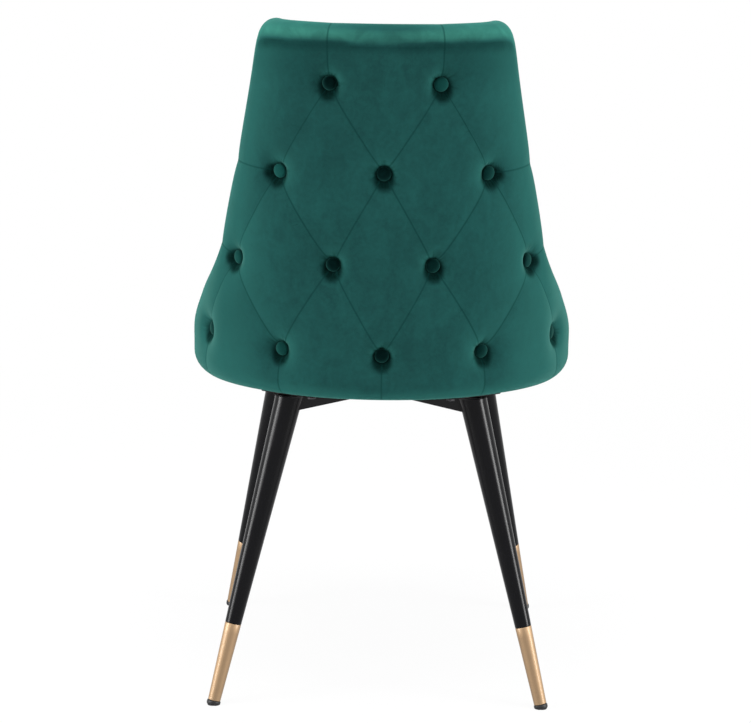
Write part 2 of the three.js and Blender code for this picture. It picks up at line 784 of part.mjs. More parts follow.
// Plastic glide: a rounded cap with a stem up the tube, its sole cut level with the floor.
function glide(leg) {
  const geometry = revolve([
    [0, -glideHeight],
    [glideRadius - 1.5, -glideHeight],
    [glideRadius, 0],
    [glideRadius, glideTop - 1.2],
    [glideRadius - 1.2, glideTop],
    [glideStemRadius, glideTop],
    [glideStemRadius, glideTop + glideStemLength - 1],
    [glideStemRadius - 1, glideTop + glideStemLength],
    [0, glideTop + glideStemLength],
  ], 24);
  return subtract(placedOnLeg(geometry, leg), levelBlock(-40, 0));
}

// Steel plate on top of a leg, bolted up into the board and trimmed clear of the shell.
function legPlate({ centre, inward, bolts }) {
  const length = boltSpacing + plateMargin * 2;
  const shape = new THREE.Shape();
  shape.moveTo(-length / 2 + plateCorner, -plateWidth / 2);
  shape.lineTo(length / 2 - plateCorner, -plateWidth / 2);
  shape.absarc(length / 2 - plateCorner, -plateWidth / 2 + plateCorner, plateCorner, -Math.PI / 2, 0);
  shape.absarc(length / 2 - plateCorner, plateWidth / 2 - plateCorner, plateCorner, 0, Math.PI / 2);
  shape.absarc(-length / 2 + plateCorner, plateWidth / 2 - plateCorner, plateCorner, Math.PI / 2, Math.PI);
  shape.absarc(-length / 2 + plateCorner, -plateWidth / 2 + plateCorner, plateCorner, Math.PI, 1.5 * Math.PI);
  const geometry = new THREE.ExtrudeGeometry(shape, {
    depth: plateThickness,
    bevelEnabled: false,
    curveSegments: 4,
  });
  geometry.rotateZ(Math.atan2(inward.y, inward.x) + Math.PI / 2);
  geometry.translate(centre.x, centre.y, plateFoot);
  const shellOpening = new THREE.Shape(planOutline(boardDepth, seatNeck));
  const inside = plate(shellOpening, plateFoot - 5, plateThickness + 10);
  const near = boltHoles.filter((_, i) => legSeats[Math.floor(i / 2)].bolts === bolts);
  return subtract(toManifold(geometry).intersect(inside), ...near);
}

const crossingY = THREE.MathUtils.mapLinear(
  0, legs[0].top[0], legs[3].top[0], legs[0].top[1], legs[3].top[1]);
const centreHole = cylinder(
  boltShankRadius + fitGap,
  new THREE.Vector3(0, crossingY, frameTop - barHeight - 5),
  new THREE.Vector3(0, crossingY, frameTop + 5),
  12,
);

// Rectangular steel tube between the tops of two opposite legs, coped to them and half-lapped midway.
function crossBar(from, to, lapsOver) {
  const start = new THREE.Vector2(...from.top);
  const end = new THREE.Vector2(...to.top);
  const length = start.distanceTo(end);
  const direction = end.clone().sub(start).normalize();
  const box = (width, height, run) => {
    const geometry = new THREE.BoxGeometry(run, width, height);
    geometry.rotateZ(Math.atan2(direction.y, direction.x));
    geometry.translate((start.x + end.x) / 2, (start.y + end.y) / 2, frameTop - barHeight / 2);
    return toManifold(geometry);
  };
  const tube = box(barWidth, barHeight, length).subtract(
    box(barWidth - 2 * barWall, barHeight - 2 * barWall, length + 20),
  );
  const copes = [from, to].map((leg) => {
    const { length: run } = legAxis(leg);
    return placedOnLeg(revolve([
      [0, run - 60],
      [legRadius(run - 60, run) + fitGap, run - 60],
      [legRadius(run + 20, run) + fitGap, run + 20],
      [0, run + 20],
    ], 24), leg);
  });
  const lap = new THREE.BoxGeometry(lapLength, barWidth + 2 * fitGap, barHeight);
  lap.rotateZ(Math.atan2(direction.y, -direction.x));
  const lapShift = lapsOver ? -barHeight / 2 : barHeight / 2;
  lap.translate(0, crossingY, frameTop - barHeight / 2 + lapShift + (lapsOver ? fitGap / 2 : -fitGap / 2));
  return subtract(tube, ...copes, toManifold(lap), centreHole);
}

const hexagon = (radius, height, thickness) => {
  const geometry = new THREE.CylinderGeometry(radius, radius, thickness, 6);
  geometry.rotateX(Math.PI / 2);
  geometry.translate(0, 0, height + thickness / 2);
  return toManifold(geometry);
};

// Hexagon-headed bolt pointing up, its head under z = 0.
function bolt(x, y, seat, reach) {
  const shank = cylinder(boltShankRadius, new THREE.Vector3(0, 0, -1), new THREE.Vector3(0, 0, reach), 12);
  return hexagon(boltHeadRadius, -boltHeadHeight, boltHeadHeight).add(shank).translate([x, y, seat]);
}

// ---- assembly ---------------------------------------------------------------------------------------------

const chair = new THREE.Group();
chair.position.y = originShift;

function addPiece(name, solid, finish) {
  const mesh = new THREE.Mesh(toGeometry(solid), finish);
  mesh.name = name;
  chair.add(mesh);
}

addPiece('outer_back_pad', outerPad(), finishes.velvet);
addPiece('ply_back', plyBack(), finishes.plywood);
addPiece('inner_back_pad', innerPad(), finishes.seatVelvet);
addPiece('seat_board', seatBoard(), finishes.plywood);
addPiece('seat_cushion', seatCushion(), finishes.seatVelvet);
addPiece('dust_cover', dustCover(), finishes.blackCloth);
for (const { name, frame } of buttonPlaces) {
  addPiece(name, toManifold(placedOnSurface(buttonGeometry(), frame, buttonSink)), finishes.velvet);
}
plyScrewFrames.forEach((frame, i) => {
  const screw = toManifold(placedOnSurface(screwGeometry(0), frame, plyScrewDepth));
  addPiece(`ply_screw_${i + 1}`, screw, finishes.zincSteel);
});
for (const seat of legSeats) {
  addPiece(`leg_${seat.name}`, legTube(seat), finishes.blackSteel);
  addPiece(`ferrule_${seat.name}`, ferrule(seat), finishes.paleGold);
  addPiece(`glide_${seat.name}`, glide(seat), finishes.blackPlastic);
  addPiece(`leg_plate_${seat.name}`, legPlate(seat), finishes.blackSteel);
  seat.bolts.forEach(({ x, y }, i) => {
    const solid = bolt(x, y, frameTop, boltTop - frameTop);
    addPiece(`leg_bolt_${seat.name}_${i + 1}`, solid, finishes.zincSteel);
  });
}
const [rearLeft, rearRight, frontLeft, frontRight] = legs;
addPiece('cross_bar_upper', crossBar(rearLeft, frontRight, true), finishes.blackSteel);
addPiece('cross_bar_lower', crossBar(rearRight, frontLeft, false), finishes.blackSteel);
addPiece('centre_bolt', bolt(0, crossingY, frameTop - barHeight - fitGap, barHeight + 2), finishes.zincSteel);

export default chair;
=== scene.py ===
import math

import bmesh
import bpy
import numpy as np
from mathutils import Matrix, Vector


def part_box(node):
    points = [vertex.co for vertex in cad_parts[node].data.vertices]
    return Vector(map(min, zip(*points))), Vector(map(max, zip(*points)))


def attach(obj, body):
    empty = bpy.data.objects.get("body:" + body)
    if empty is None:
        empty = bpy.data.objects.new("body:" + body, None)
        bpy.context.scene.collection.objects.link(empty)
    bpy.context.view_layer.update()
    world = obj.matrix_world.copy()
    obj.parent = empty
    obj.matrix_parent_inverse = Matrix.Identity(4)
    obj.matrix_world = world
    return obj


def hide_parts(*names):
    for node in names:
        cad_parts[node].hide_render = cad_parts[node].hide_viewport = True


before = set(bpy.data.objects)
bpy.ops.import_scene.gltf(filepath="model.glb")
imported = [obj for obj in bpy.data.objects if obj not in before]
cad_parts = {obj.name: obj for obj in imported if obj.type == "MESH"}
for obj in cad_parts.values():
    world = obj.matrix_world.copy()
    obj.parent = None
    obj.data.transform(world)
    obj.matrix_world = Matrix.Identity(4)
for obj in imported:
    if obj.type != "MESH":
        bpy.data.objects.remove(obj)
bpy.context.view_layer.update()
scene = bpy.context.scene
scene.view_settings.view_transform = "Standard"

# ---- camera, room and light --------------------------------------------------
# A long lens stands three metres behind the chair, a metre up, and looks slightly down. The room is plain
# white. The light is a wide soft box overhead, one at each side and one in front. Two cards show only in
# gloss, and let the metal and the lacquer shine.
lens_pitch = 0.1894
lens_roll = 0.0125
lens_place = Vector((0.0078, 3.00455, 0.9929))
sensor_width, focal_length = 36, 107.45  # in millimetres
look = Vector((0, -math.cos(lens_pitch), -math.sin(lens_pitch)))
level = Vector((-1, 0, 0))
plumb = level.cross(look)
lens_right = math.cos(lens_roll) * level + math.sin(lens_roll) * plumb
lens_up = math.cos(lens_roll) * plumb - math.sin(lens_roll) * level
camera = bpy.data.objects.new("camera", bpy.data.cameras.new("camera"))
camera.data.sensor_width = sensor_width
camera.data.lens = focal_length
lens_turn = Matrix((lens_right, lens_up, -look)).transposed().to_4x4()
camera.matrix_world = Matrix.Translation(lens_place) @ lens_turn
scene.collection.objects.link(camera)
scene.camera = camera


def new_node(tree, kind, inputs=None, **settings):
    """Adds a node and gives its outputs. An input is a plain value or the output of another node."""
    node = tree.nodes.new(kind)
    for setting, value in settings.items():
        setattr(node, setting, value)
    for socket, value in (inputs or {}).items():
        if isinstance(value, Varying):
            value = value.output
        if isinstance(value, bpy.types.NodeSocket):
            tree.links.new(value, node.inputs[socket])
        else:
            node.inputs[socket].default_value = value
    return node.outputs


class Varying:
    """A number that varies from place to place. What is worked out with it becomes nodes in its tree."""

    def __init__(self, output):
        self.output = output
        self.tree = output.id_data

    def worked(self, operation, other=0.0, clamp=False, swapped=False):
        inputs = {0: other, 1: self} if swapped else {0: self, 1: other}
        return Varying(new_node(self.tree, "ShaderNodeMath", inputs, operation=operation, use_clamp=clamp)[0])

    def __add__(self, other):
        return self.worked("ADD", other)

    def __sub__(self, other):
        return self.worked("SUBTRACT", other)

    def __rsub__(self, other):
        return self.worked("SUBTRACT", other, swapped=True)

    def __mul__(self, other):
        return self.worked("MULTIPLY", other)

    def __truediv__(self, other):
        return self.worked("DIVIDE", other)

    def __abs__(self):
        return self.worked("ABSOLUTE")

    def least(self, other):
        return self.worked("MINIMUM", other)

    def most(self, other):
        return self.worked("MAXIMUM", other)

    def ramp(self, low, high, start=0.0, end=1.0, smooth=False):
        """Goes from start to end as the number goes from low to high."""
        inputs = {"Value": self, "From Min": low, "From Max": high, "To Min": start, "To Max": end}
        easing = "SMOOTHSTEP" if smooth else "LINEAR"
        return Varying(new_node(self.tree, "ShaderNodeMapRange", inputs, interpolation_type=easing)[0])


def seen_white(tree, lit_shader, white_kind, share=1.0):
    """Mixes pure white over lit_shader, by share, for the rays that only look at the room."""
    rays = new_node(tree, "ShaderNodeLightPath")
    mirrored = Varying(rays["Is Glossy Ray"]).most(rays["Is Transmission Ray"])
    seen = Varying(rays["Is Camera Ray"]).most(mirrored) * share
    white = new_node(tree, white_kind, {"Color": (1, 1, 1, 1)})[0]
    return new_node(tree, "ShaderNodeMixShader", {0: seen, 1: lit_shader, 2: white})[0]


def new_finish(name, inputs):
    """A new material with these numbers and colours on its shader; its tree and shader come with it."""
    finish = bpy.data.materials.new(name)
    finish.use_nodes = True
    shader = finish.node_tree.nodes["Principled BSDF"]
    for socket, value in inputs.items():
        shader.inputs[socket].default_value = value
    return finish, finish.node_tree, shader


def new_piece(name, points, edges=(), faces=()):
    """A new object in the scene with a mesh of its own."""
    mesh = bpy.data.meshes.new(name)
    mesh.from_pydata(points, list(edges), list(faces))
    mesh.update()
    piece = bpy.data.objects.new(name, mesh)
    scene.collection.objects.link(piece)
    return piece


world = bpy.data.worlds.new("studio")
world.use_nodes = True
scene.world = world
room_tree = world.node_tree
room_light = room_tree.nodes["Background"]
room_light.inputs["Color"].default_value = (0.93, 0.96, 1.0, 1)
room_light.inputs["Strength"].default_value = 0.35
white_room = seen_white(room_tree, room_light.outputs[0], "ShaderNodeBackground")
room_tree.links.new(white_room, room_tree.nodes["World Output"].inputs["Surface"])

floor_inputs = {"Base Color": (0.80, 0.80, 0.80, 1), "Roughness": 0.9}
floor_paint, floor_tree, painted = new_finish("floor_paint", floor_inputs)
floor_spot = new_node(floor_tree, "ShaderNodeTexCoord")["Object"]
from_middle = new_node(floor_tree, "ShaderNodeVectorMath", {0: floor_spot}, operation="LENGTH")["Value"]
# The shadow is kept round the chair, and fades to white farther out.
fade_out = Varying(from_middle).ramp(low=0.5, high=2.2, start=0.93)
white_floor = seen_white(floor_tree, painted.outputs[0], "ShaderNodeEmission", fade_out)
floor_tree.links.new(white_floor, floor_tree.nodes["Material Output"].inputs["Surface"])
floor_half = 30
floor_corners = [(x * floor_half, y * floor_half, 0) for x, y in ((-1, -1), (1, -1), (1, 1), (-1, 1))]
floor = new_piece("floor", floor_corners, faces=[(0, 1, 2, 3)])
floor.data.materials.append(floor_paint)


def soft_box(name, place, target, width, height, power, only_in_gloss=False):
    """A rectangular lamp that faces its target."""
    lamp = bpy.data.lights.new(name, "AREA")
    lamp.shape = "RECTANGLE"
    lamp.size, lamp.size_y = width, height
    lamp.energy = power
    box = bpy.data.objects.new(name, lamp)
    box.visible_diffuse = not only_in_gloss
    box.location = place
    box.rotation_euler = (Vector(target) - Vector(place)).to_track_quat("-Z", "Y").to_euler()
    scene.collection.objects.link(box)


soft_box("overhead_box", (0, 0.5, 2.9), (0, 0.1, 0.5), width=2.4, height=1.8, power=66)
soft_box("left_box", (2.3, 1.1, 1.05), (0, 0, 0.55), width=0.8, height=2.0, power=50)
soft_box("right_box", (-2.3, 1.1, 1.05), (0, 0, 0.55), width=0.8, height=2.0, power=50)
soft_box("left_card", (2.42, 0.62, 1.15), (0, 0, 0.45), width=0.6, height=2.0, power=74, only_in_gloss=True)
soft_box("right_card", (-2.35, 0.90, 1.15), (0, 0, 0.45), width=0.6, height=2.0, power=74, only_in_gloss=True)
soft_box("front_box", (0.6, -2.6, 1.7), (0, 0, 0.6), width=1.6, height=1.6, power=22)

# ---- padded shell: outside of the back and wings -----------------------------
# Foam over a bent plywood back, covered with cut velvet that is pulled in at fourteen buttons. Straight
# pleats run from button to button in a diamond lattice and on over the top roll, to the sides and the foot.
# The outside is one surface: its plan at each height is a half ellipse carried forward as two wings.
plan_shift = -0.00645
shell_stations = np.array([  # height, half width, rear, bow
    (0.400, 0.2555, 0.226, 0.236),
    (0.440, 0.2555, 0.226, 0.236),
    (0.475, 0.2545, 0.229, 0.236),
    (0.520, 0.2400, 0.230, 0.188),
    (0.582, 0.2180, 0.235, 0.142),
    (0.698, 0.1930, 0.253, 0.118),
    (0.800, 0.1740, 0.273, 0.102),
    (0.890, 0.1600, 0.291, 0.088),
])
shell_foot = 0.403
shell_front = -0.258
shell_thickness = 0.048
wing_narrowing = 0.020
rim_radius = 0.024
foot_radius = 0.029
rim_top_centre = 0.8835
rim_top_rise = 0.0035
rim_corner_radius = 0.018
rim_side_end = 0.606
wing_bend_y, wing_bend_height = -0.128, 0.509
wing_front_height = 0.500
hollow_depth = 0.020  # the plywood lies this deep under the crest of the outside


def station_value(column, height):
    """A smooth curve through one column of the stations, upright below the lowest two."""
    heights, values = shell_stations[:, 0], shell_stations[:, column]
    height = np.asarray(height, float)
    last = len(heights) - 1
    before, after = np.maximum(np.arange(last + 1) - 1, 0), np.minimum(np.arange(last + 1) + 1, last)
    slopes = (values[after] - values[before]) / (heights[after] - heights[before])
    k = np.clip(np.searchsorted(heights, height, side="right") - 1, 0, last - 1)
    span = heights[k + 1] - heights[k]
    t = np.clip((height - heights[k]) / span, 0, 1)
    upright = np.where(k == 0, 0.0, 1.0)
    return (
        (2 * t**3 - 3 * t**2 + 1) * values[k]
        + (t**3 - 2 * t**2 + t) * slopes[k] * span * upright
        + (3 * t**2 - 2 * t**3) * values[k + 1]
        + (t**3 - t**2) * slopes[k + 1] * span * upright
    )


plan_step = 0.002
plan_heights = np.arange(0.396, 0.894, plan_step)
plan_arcs = np.arange(0, 0.690, plan_step)
plan_rows, quarter_lengths, bow_middles = [], [], []
for plan_height in plan_heights:
    half_width, rear, bow = (float(station_value(column, plan_height)) for column in (1, 2, 3))
    turn = np.linspace(0, math.pi / 2, 81)
    x, y = half_width * np.sin(turn), rear - bow + bow * np.cos(turn)
    run = np.concatenate([[0], np.cumsum(np.hypot(np.diff(x), np.diff(y)))])
    quarter, middle = run[-1], rear - bow
    at = np.interp(plan_arcs, run, turn)
    u = np.maximum(plan_arcs - quarter, 0) / (middle - shell_front)
    round_back = plan_arcs <= quarter
    px = np.where(round_back, half_width * np.sin(at), half_width - wing_narrowing * u**2)
    py = np.where(round_back, middle + bow * np.cos(at), middle - (middle - shell_front) * u)
    nx = np.where(round_back, bow * np.sin(at), middle - shell_front)
    ny = np.where(round_back, half_width * np.cos(at), -2 * wing_narrowing * u)
    size = np.hypot(nx, ny)
    plan_rows.append(np.stack([px, py, nx / size, ny / size], -1))
    quarter_lengths.append(quarter)
    bow_middles.append(middle)
shell_plan = np.array(plan_rows)


def quarter_at(height):
    return np.interp(height, plan_heights, quarter_lengths)


def middle_at(height):
    return np.interp(height, plan_heights, bow_middles)


def wing_arc(y, height):
    return quarter_at(height) + middle_at(height) - y


def sampled(table, down, along):
    """Values between the rows and columns of an evenly spaced table, counted in its steps."""
    down, along = (np.clip(at, 0, count - 1.001) for at, count in zip((down, along), table.shape))
    i, j = down.astype(int), along.astype(int)
    low, near = down - i, along - j
    if table.ndim > 2:
        low, near = low[..., None], near[..., None]
    return (
        table[i, j] * (1 - low) * (1 - near) + table[i + 1, j] * low * (1 - near)
        + table[i, j + 1] * (1 - low) * near + table[i + 1, j + 1] * low * near
    )


def on_shell(arc, height, depth):
    """Points under the outside of the shell, from the arc length round it, the height and a level depth."""
    side = np.where(arc < 0, -1.0, 1.0)
    p = sampled(shell_plan, (height - plan_heights[0]) / plan_step, np.abs(arc) / plan_step)
    x = side * (p[..., 0] - p[..., 2] * depth)
    y = p[..., 1] - p[..., 3] * depth + plan_shift
    return np.stack([x, y, height + 0 * x], -1)


def bezier(points, t):
    a, b, c, d = (np.asarray(p, float) for p in points)
    t = np.asarray(t)[..., None]
    return (1 - t) ** 3 * a + 3 * (1 - t) ** 2 * t * b + 3 * (1 - t) * t**2 * c + t**3 * d


def run_along(line):
    """The length run at each point of a line, from its start."""
    return np.concatenate([[0], np.cumsum(np.linalg.norm(np.diff(line, axis=0), axis=1))])


def even_along(points, spacing):
    """A line of points at an even spacing, with the direction and the run at each."""
    run = run_along(points)
    at = np.linspace(0, run[-1], max(2, round(run[-1] / spacing) + 1))
    even = np.stack([np.interp(at, run, points[:, k]) for k in range(points.shape[1])], -1)
    ahead = np.gradient(even, axis=0)
    return even, ahead / np.linalg.norm(ahead, axis=1)[:, None], at


def side_point(height):
    return np.array([quarter_at(height), height])


def wing_point(y, height):
    return np.array([wing_arc(y, height), height])


def rim_line(spacing):
    """The rim of one side in arc length and height, from the middle of the top to the front of the wing."""
    fine = np.linspace(0, 1, 400)
    corner_height = rim_top_centre + rim_top_rise
    side_top = side_point(corner_height - rim_corner_radius)
    corner = np.array([side_top[0] - rim_corner_radius, corner_height])
    side_end = side_point(rim_side_end)
    bend = wing_point(wing_bend_y, wing_bend_height)
    shelf = np.linalg.norm(bend - side_end)
    top_edge = bezier([
        (0, rim_top_centre), (corner[0] * 0.45, rim_top_centre),
        (corner[0] * 0.75, rim_top_centre + rim_top_rise * 0.6), corner], fine)
    top_corner = bezier([
        corner, (corner[0] + rim_corner_radius * 0.55, corner_height + 0.0015),
        (side_top[0] - 0.0015, side_top[1] + rim_corner_radius * 0.5), side_top], fine)
    side = side_point(np.linspace(side_top[1], rim_side_end, 400)).T
    leave, arrive = side_end + shelf * np.array([0.06, -0.24]), bend + shelf * np.array([-0.5, 0.05])
    sweep = bezier([side_end, leave, arrive, bend], fine)
    back = np.concatenate([top_edge, top_corner[1:], side[1:]])
    wing = np.concatenate([sweep, wing_point(shell_front + rim_radius, wing_front_height)[None]])
    corner_run = [run_along(line)[-1] for line in (top_edge, top_corner)]
    return even_along(back, spacing), even_along(wing, spacing), corner_run


corner_spread = 0.028
rib_slant = 0.36
slant_start, slant_run = -0.03, 0.05
slant_end, slant_fade = 0.2, 0.25
foot_crowding = 0.6


def shell_ribs(spacing, noses):
    """Ribs of one side in arc length and height: each rises from the foot to a shoulder and over the rim."""
    (back, back_way, back_run), (wing, wing_way, wing_run), corner_run = rim_line(spacing)
    share = back_run / back_run[-1]
    back_foot = wing_arc(middle_at(rim_side_end), shell_foot)
    from_corner = back_run - corner_run[0]
    square = back + np.stack([back_way[:, 1], -back_way[:, 0]], -1) * rim_radius
    # The shoulders of the ribs round the top corner are spread along a curve, because they'd cross otherwise.
    spread_ends = (-corner_spread, corner_run[1] + corner_spread)
    first, last = (np.argmin(np.abs(from_corner - distance)) for distance in spread_ends)
    between, across = square[last] - square[first], np.array([back_way[last][1], -back_way[last][0]])
    meeting = square[first] + back_way[first] * (between @ across) / (back_way[first] @ across)
    t = np.linspace(0, 1, last - first + 1)[:, None]
    square[first:last + 1] = (1 - t) ** 2 * square[first] + 2 * t * (1 - t) * meeting + t**2 * square[last]
    past = from_corner - corner_run[1] / 2
    feet = back_foot * share * (foot_crowding + (1 - foot_crowding) * share)
    starts = list(zip(feet, square, back, past))
    for top, way, run in zip(wing[1:], wing_way[1:], wing_run[1:]):
        foot = wing_arc(middle_at(top[1]) - (top[0] - quarter_at(top[1])), shell_foot)
        starts.append((foot, top + np.array([way[1], -way[0]]) * rim_radius, top, past[-1] + run))
    drops = [0.0] * len(starts)
    for angle in np.linspace(0, math.pi / 2, noses + 1) if noses else []:
        y = shell_front + rim_radius * (1 - math.sin(angle))
        drops.append(rim_radius * (1 - math.cos(angle)))
        top = wing_point(y, wing_front_height - drops[-1])
        starts.append((wing_arc(y, shell_foot), top - (0, rim_radius), top, 1.0))
    ribs = []
    for (foot_arc, shoulder, top, past), drop in zip(starts, drops):
        foot = np.array([float(foot_arc), shell_foot])
        length = np.linalg.norm(shoulder - foot)
        slant = rib_slant * (1 + math.tanh((past - slant_start) / slant_run)) / 2
        slant *= 1 - min(1, max(0, (past - slant_end) / slant_fade))
        fall = np.array([-slant, -1]) / math.hypot(slant, 1)
        knots = [foot, foot + (0, length * 0.35), shoulder + fall * length * 0.3, shoulder]
        line = bezier(knots, np.linspace(0, 1, 200))
        run = run_along(line)
        ribs.append((np.concatenate([line, top[None]]), np.append(run, run[-1] + rim_radius), drop))
    return ribs


edge_rows = 10  # the rows of points that round the rim
hem_height, hem_step = 0.0041, 0.0001  # the cover's lower edge, turned in under the plywood


def shell_grid(spacing, middle_rows, inset=0.0, foot_height=shell_foot, noses=0):
    """Points along the ribs of one side: arc, height, distance from rim and foot, and nose drop."""
    shares = 1 - np.cos(np.linspace(0, math.pi / 2, edge_rows))
    columns = []
    for line, run, drop in shell_ribs(spacing, noses):
        length = run[-1]
        if inset:
            steps = np.linspace(foot_height - shell_foot, length - inset, middle_rows + 2)
        else:
            low = np.concatenate([[0, hem_height, hem_height + hem_step], (shares * foot_radius)[4:]])
            high = np.concatenate([[length - rim_radius], (length - shares * rim_radius)[::-1]])
            middle_steps = np.linspace(foot_radius, length - rim_radius, middle_rows + 2)[1:-1]
            steps = np.concatenate([low, middle_steps, high])
        arc, height = (np.interp(steps, run, line[:, k]) for k in (0, 1))
        from_rim, drops = length - steps, np.full(len(steps), drop)
        columns.append(np.stack([arc, height, from_rim, height - shell_foot, drops], -1))
    return np.array(columns)


# The buttons' lattice. Across, buttons of a row are one apart and every other row is moved by half; down, the
# rows are counted from the top one.
row_heights = np.array([0.808, 0.696, 0.579])
row_counts = [(0.5,), (0, 1), (0.5, 1.5), (0, 1, 2)]
row_arcs = [(0.0725,), (0, 0.1435), (0.066, 0.2185), (0, 0.1405, 0.2935)]
bottom_row_heights = (0.463, 0.465, 0.473)
usual_pitch, usual_drop, pleat_span = 0.145, 0.115, 0.1215
button_radius = 0.0092
button_sink = 0.012
button_spots = []
for row, arcs in enumerate(row_arcs):
    heights = bottom_row_heights if row == 3 else [row_heights[row]] * len(arcs)
    for arc, height in zip(arcs, heights):
        button_spots += [(arc, height), (-arc, height)] if arc else [(arc, height)]
button_spots = np.array(button_spots)
lattice_end = 5  # the count at which the lattice ends, well outside the last button
half_counts = np.arange(0, 4.1, 0.5)
lattice_knots = []
for counts, arcs in zip(row_counts, row_arcs):
    known_counts = (0, *[c for c in counts if c], lattice_end)
    known_arcs = (0, *[a for a in arcs if a], arcs[-1] + (lattice_end - counts[-1]) * usual_pitch)
    lattice_knots.append(np.interp(half_counts, known_counts, known_arcs))
lattice_knots = np.array(lattice_knots)


def lattice_place(arc, height):
    """Place in the lattice: columns in pitches and rows counted down, so that buttons fall on whole rows."""
    lowest = np.interp(np.abs(arc), row_arcs[3], bottom_row_heights)
    top, second, third = row_heights
    down = np.interp(-height, -row_heights, [0, 1, 2])
    down = np.where(height > top, (top - height) / (top - second), down)
    down = np.where(height < third, 2 + (third - height) / (third - lowest), down)
    row = np.clip(down.astype(int), 0, 2)
    part = np.clip(down - row, 0, 1)[..., None]
    knots = lattice_knots[row] * (1 - part) + lattice_knots[row + 1] * part
    steps = (np.abs(arc)[..., None] - knots[..., :-1]) / np.diff(knots, axis=-1)
    return np.sign(arc) * np.clip(steps, 0, 1).sum(-1) / 2, down


side_pleats = ((1, 0.16), (2, 0.5))  # the row each starts from, and its rise in rows for each pitch outward


def pleat_distance(across, down):
    """Distance to the nearest pleat."""
    reach = np.abs(across) - (0.5 + down / 2)
    one_way, other_way = (np.abs((across + way * down / 2) % 1 - 0.5) for way in (1, -1))
    crossed = np.minimum(one_way, other_way) * pleat_span
    outside = np.maximum(0, np.maximum(-down, down - 3)) * usual_drop + np.maximum(0, reach) * usual_pitch
    lines = np.where(outside > 0, np.hypot(crossed, outside), crossed)
    over_top = np.hypot((np.abs(across) - 0.5) * usual_pitch, np.maximum(0, down) * usual_drop)
    lines = np.minimum(lines, over_top)
    for row, rise in side_pleats:
        past_button = np.abs(across) - 0.5 - row / 2
        level_with = down - row + rise * np.maximum(0, past_button)
        to_side = np.hypot(level_with * usual_drop, np.maximum(0, -past_button) * usual_pitch)
        lines = np.minimum(lines, to_side)
    beside = np.abs(across - np.clip(np.round(across), -2, 2)) * usual_pitch
    return np.minimum(lines, np.hypot(beside, np.maximum(0, 3 - down) * usual_drop))


def from_button(arc, height):
    """How far each point is from the nearest button, round the shell and up."""
    aside, above = np.full(np.shape(arc), 9.0), np.full(np.shape(arc), 9.0)
    for spot_arc, spot_height in button_spots:
        nearer = np.hypot(arc - spot_arc, height - spot_height) < np.hypot(aside, above)
        aside = np.where(nearer, arc - spot_arc, aside)
        above = np.where(nearer, height - spot_height, above)
    return aside, above


# The cover lies on the foam like a skin on springs: held down along the pleats and at the buttons, it comes
# back to the crest within a few centimetres.
pull_step = 0.0025
pull_arcs = np.arange(-0.66, 0.6601, pull_step)
pull_heights = np.arange(0.395, 0.8951, pull_step)
pull_arc, pull_height = np.meshgrid(pull_arcs, pull_heights)
pleat_near = pleat_distance(*lattice_place(pull_arc, pull_height))
button_near = np.hypot(*from_button(pull_arc, pull_height))
pleat_half_width, pleat_bed, button_bed = 0.0014, 0.0022, button_sink + 0.001
bed_radius, held_radius, bed_slope = 0.0095, 0.0105, 0.0115
under_button = button_sink + 0.0035
past_bed = np.maximum(button_near - bed_radius, 0)
pleat_depth = pleat_bed + (button_bed - pleat_bed) * np.exp(-past_bed / bed_slope)
held = (pleat_near < pleat_half_width) | (button_near < held_radius)
held_depth = np.where(button_near < held_radius, under_button, pleat_depth)
foam_reach = 0.0165
slack = 1 + (pull_step / foam_reach) ** 2 / 4
pulled = np.where(held, held_depth, 0.0)
settling_rounds = 420
for _ in range(settling_rounds):
    edge = np.pad(pulled, 1, mode="edge")
    spread = (edge[:-2, 1:-1] + edge[2:, 1:-1] + edge[1:-1, :-2] + edge[1:-1, 2:]) / 4 / slack
    pulled = np.where(held, held_depth, spread)


def both_sides(side):
    """Columns from the far wing round to the near one, from the columns of one side."""
    mirrored = side[:0:-1].copy()
    mirrored[..., 0] *= -1
    return np.concatenate([mirrored, side])


def closed_layer(name, grid, outer_depth, inner_depth):
    """A closed piece between two depths under a grid, its points' grid values, and which are inside."""
    columns, rows = grid.shape[:2]
    layers = [on_shell(grid[..., 0], grid[..., 1], depth) for depth in (outer_depth, inner_depth)]
    points = np.concatenate(layers).reshape(-1, 3)
    outer = np.arange(columns * rows).reshape(columns, rows)
    inner = outer + columns * rows
    strips = (
        (outer[:-1, :-1], outer[:-1, 1:], outer[1:, 1:], outer[1:, :-1]),
        (inner[:-1, :-1], inner[1:, :-1], inner[1:, 1:], inner[:-1, 1:]),
        (outer[:-1, 0], outer[1:, 0], inner[1:, 0], inner[:-1, 0]),
        (outer[:-1, -1], inner[:-1, -1], inner[1:, -1], outer[1:, -1]),
        (outer[0, :-1], inner[0, :-1], inner[0, 1:], outer[0, 1:]),
        (outer[-1, :-1], outer[-1, 1:], inner[-1, 1:], inner[-1, :-1]),
    )
    faces = np.concatenate([np.stack([corner.ravel() for corner in strip], -1) for strip in strips])
    cells = np.round(points / 2e-6).astype(np.int64)  # points closer than two microns become one
    _, first, merged = np.unique(cells, axis=0, return_index=True, return_inverse=True)
    kept = []
    for face in merged.reshape(-1)[faces].tolist():
        corners = [v for i, v in enumerate(face) if v != face[i - 1]]
        if len(set(corners)) == len(corners) and len(corners) > 2:
            kept.append(corners)
    piece = new_piece(name, points[first].tolist(), faces=kept)
    values = np.concatenate([grid.reshape(-1, grid.shape[2])] * 2)[first]
    return piece, values, (first >= columns * rows).astype(float)


def read_points(mesh):
    places = np.zeros(len(mesh.vertices) * 3)
    mesh.vertices.foreach_get("co", places)
    return places.reshape(-1, 3)


def write_points(mesh, places):
    mesh.vertices.foreach_set("co", places.ravel())
    mesh.update()


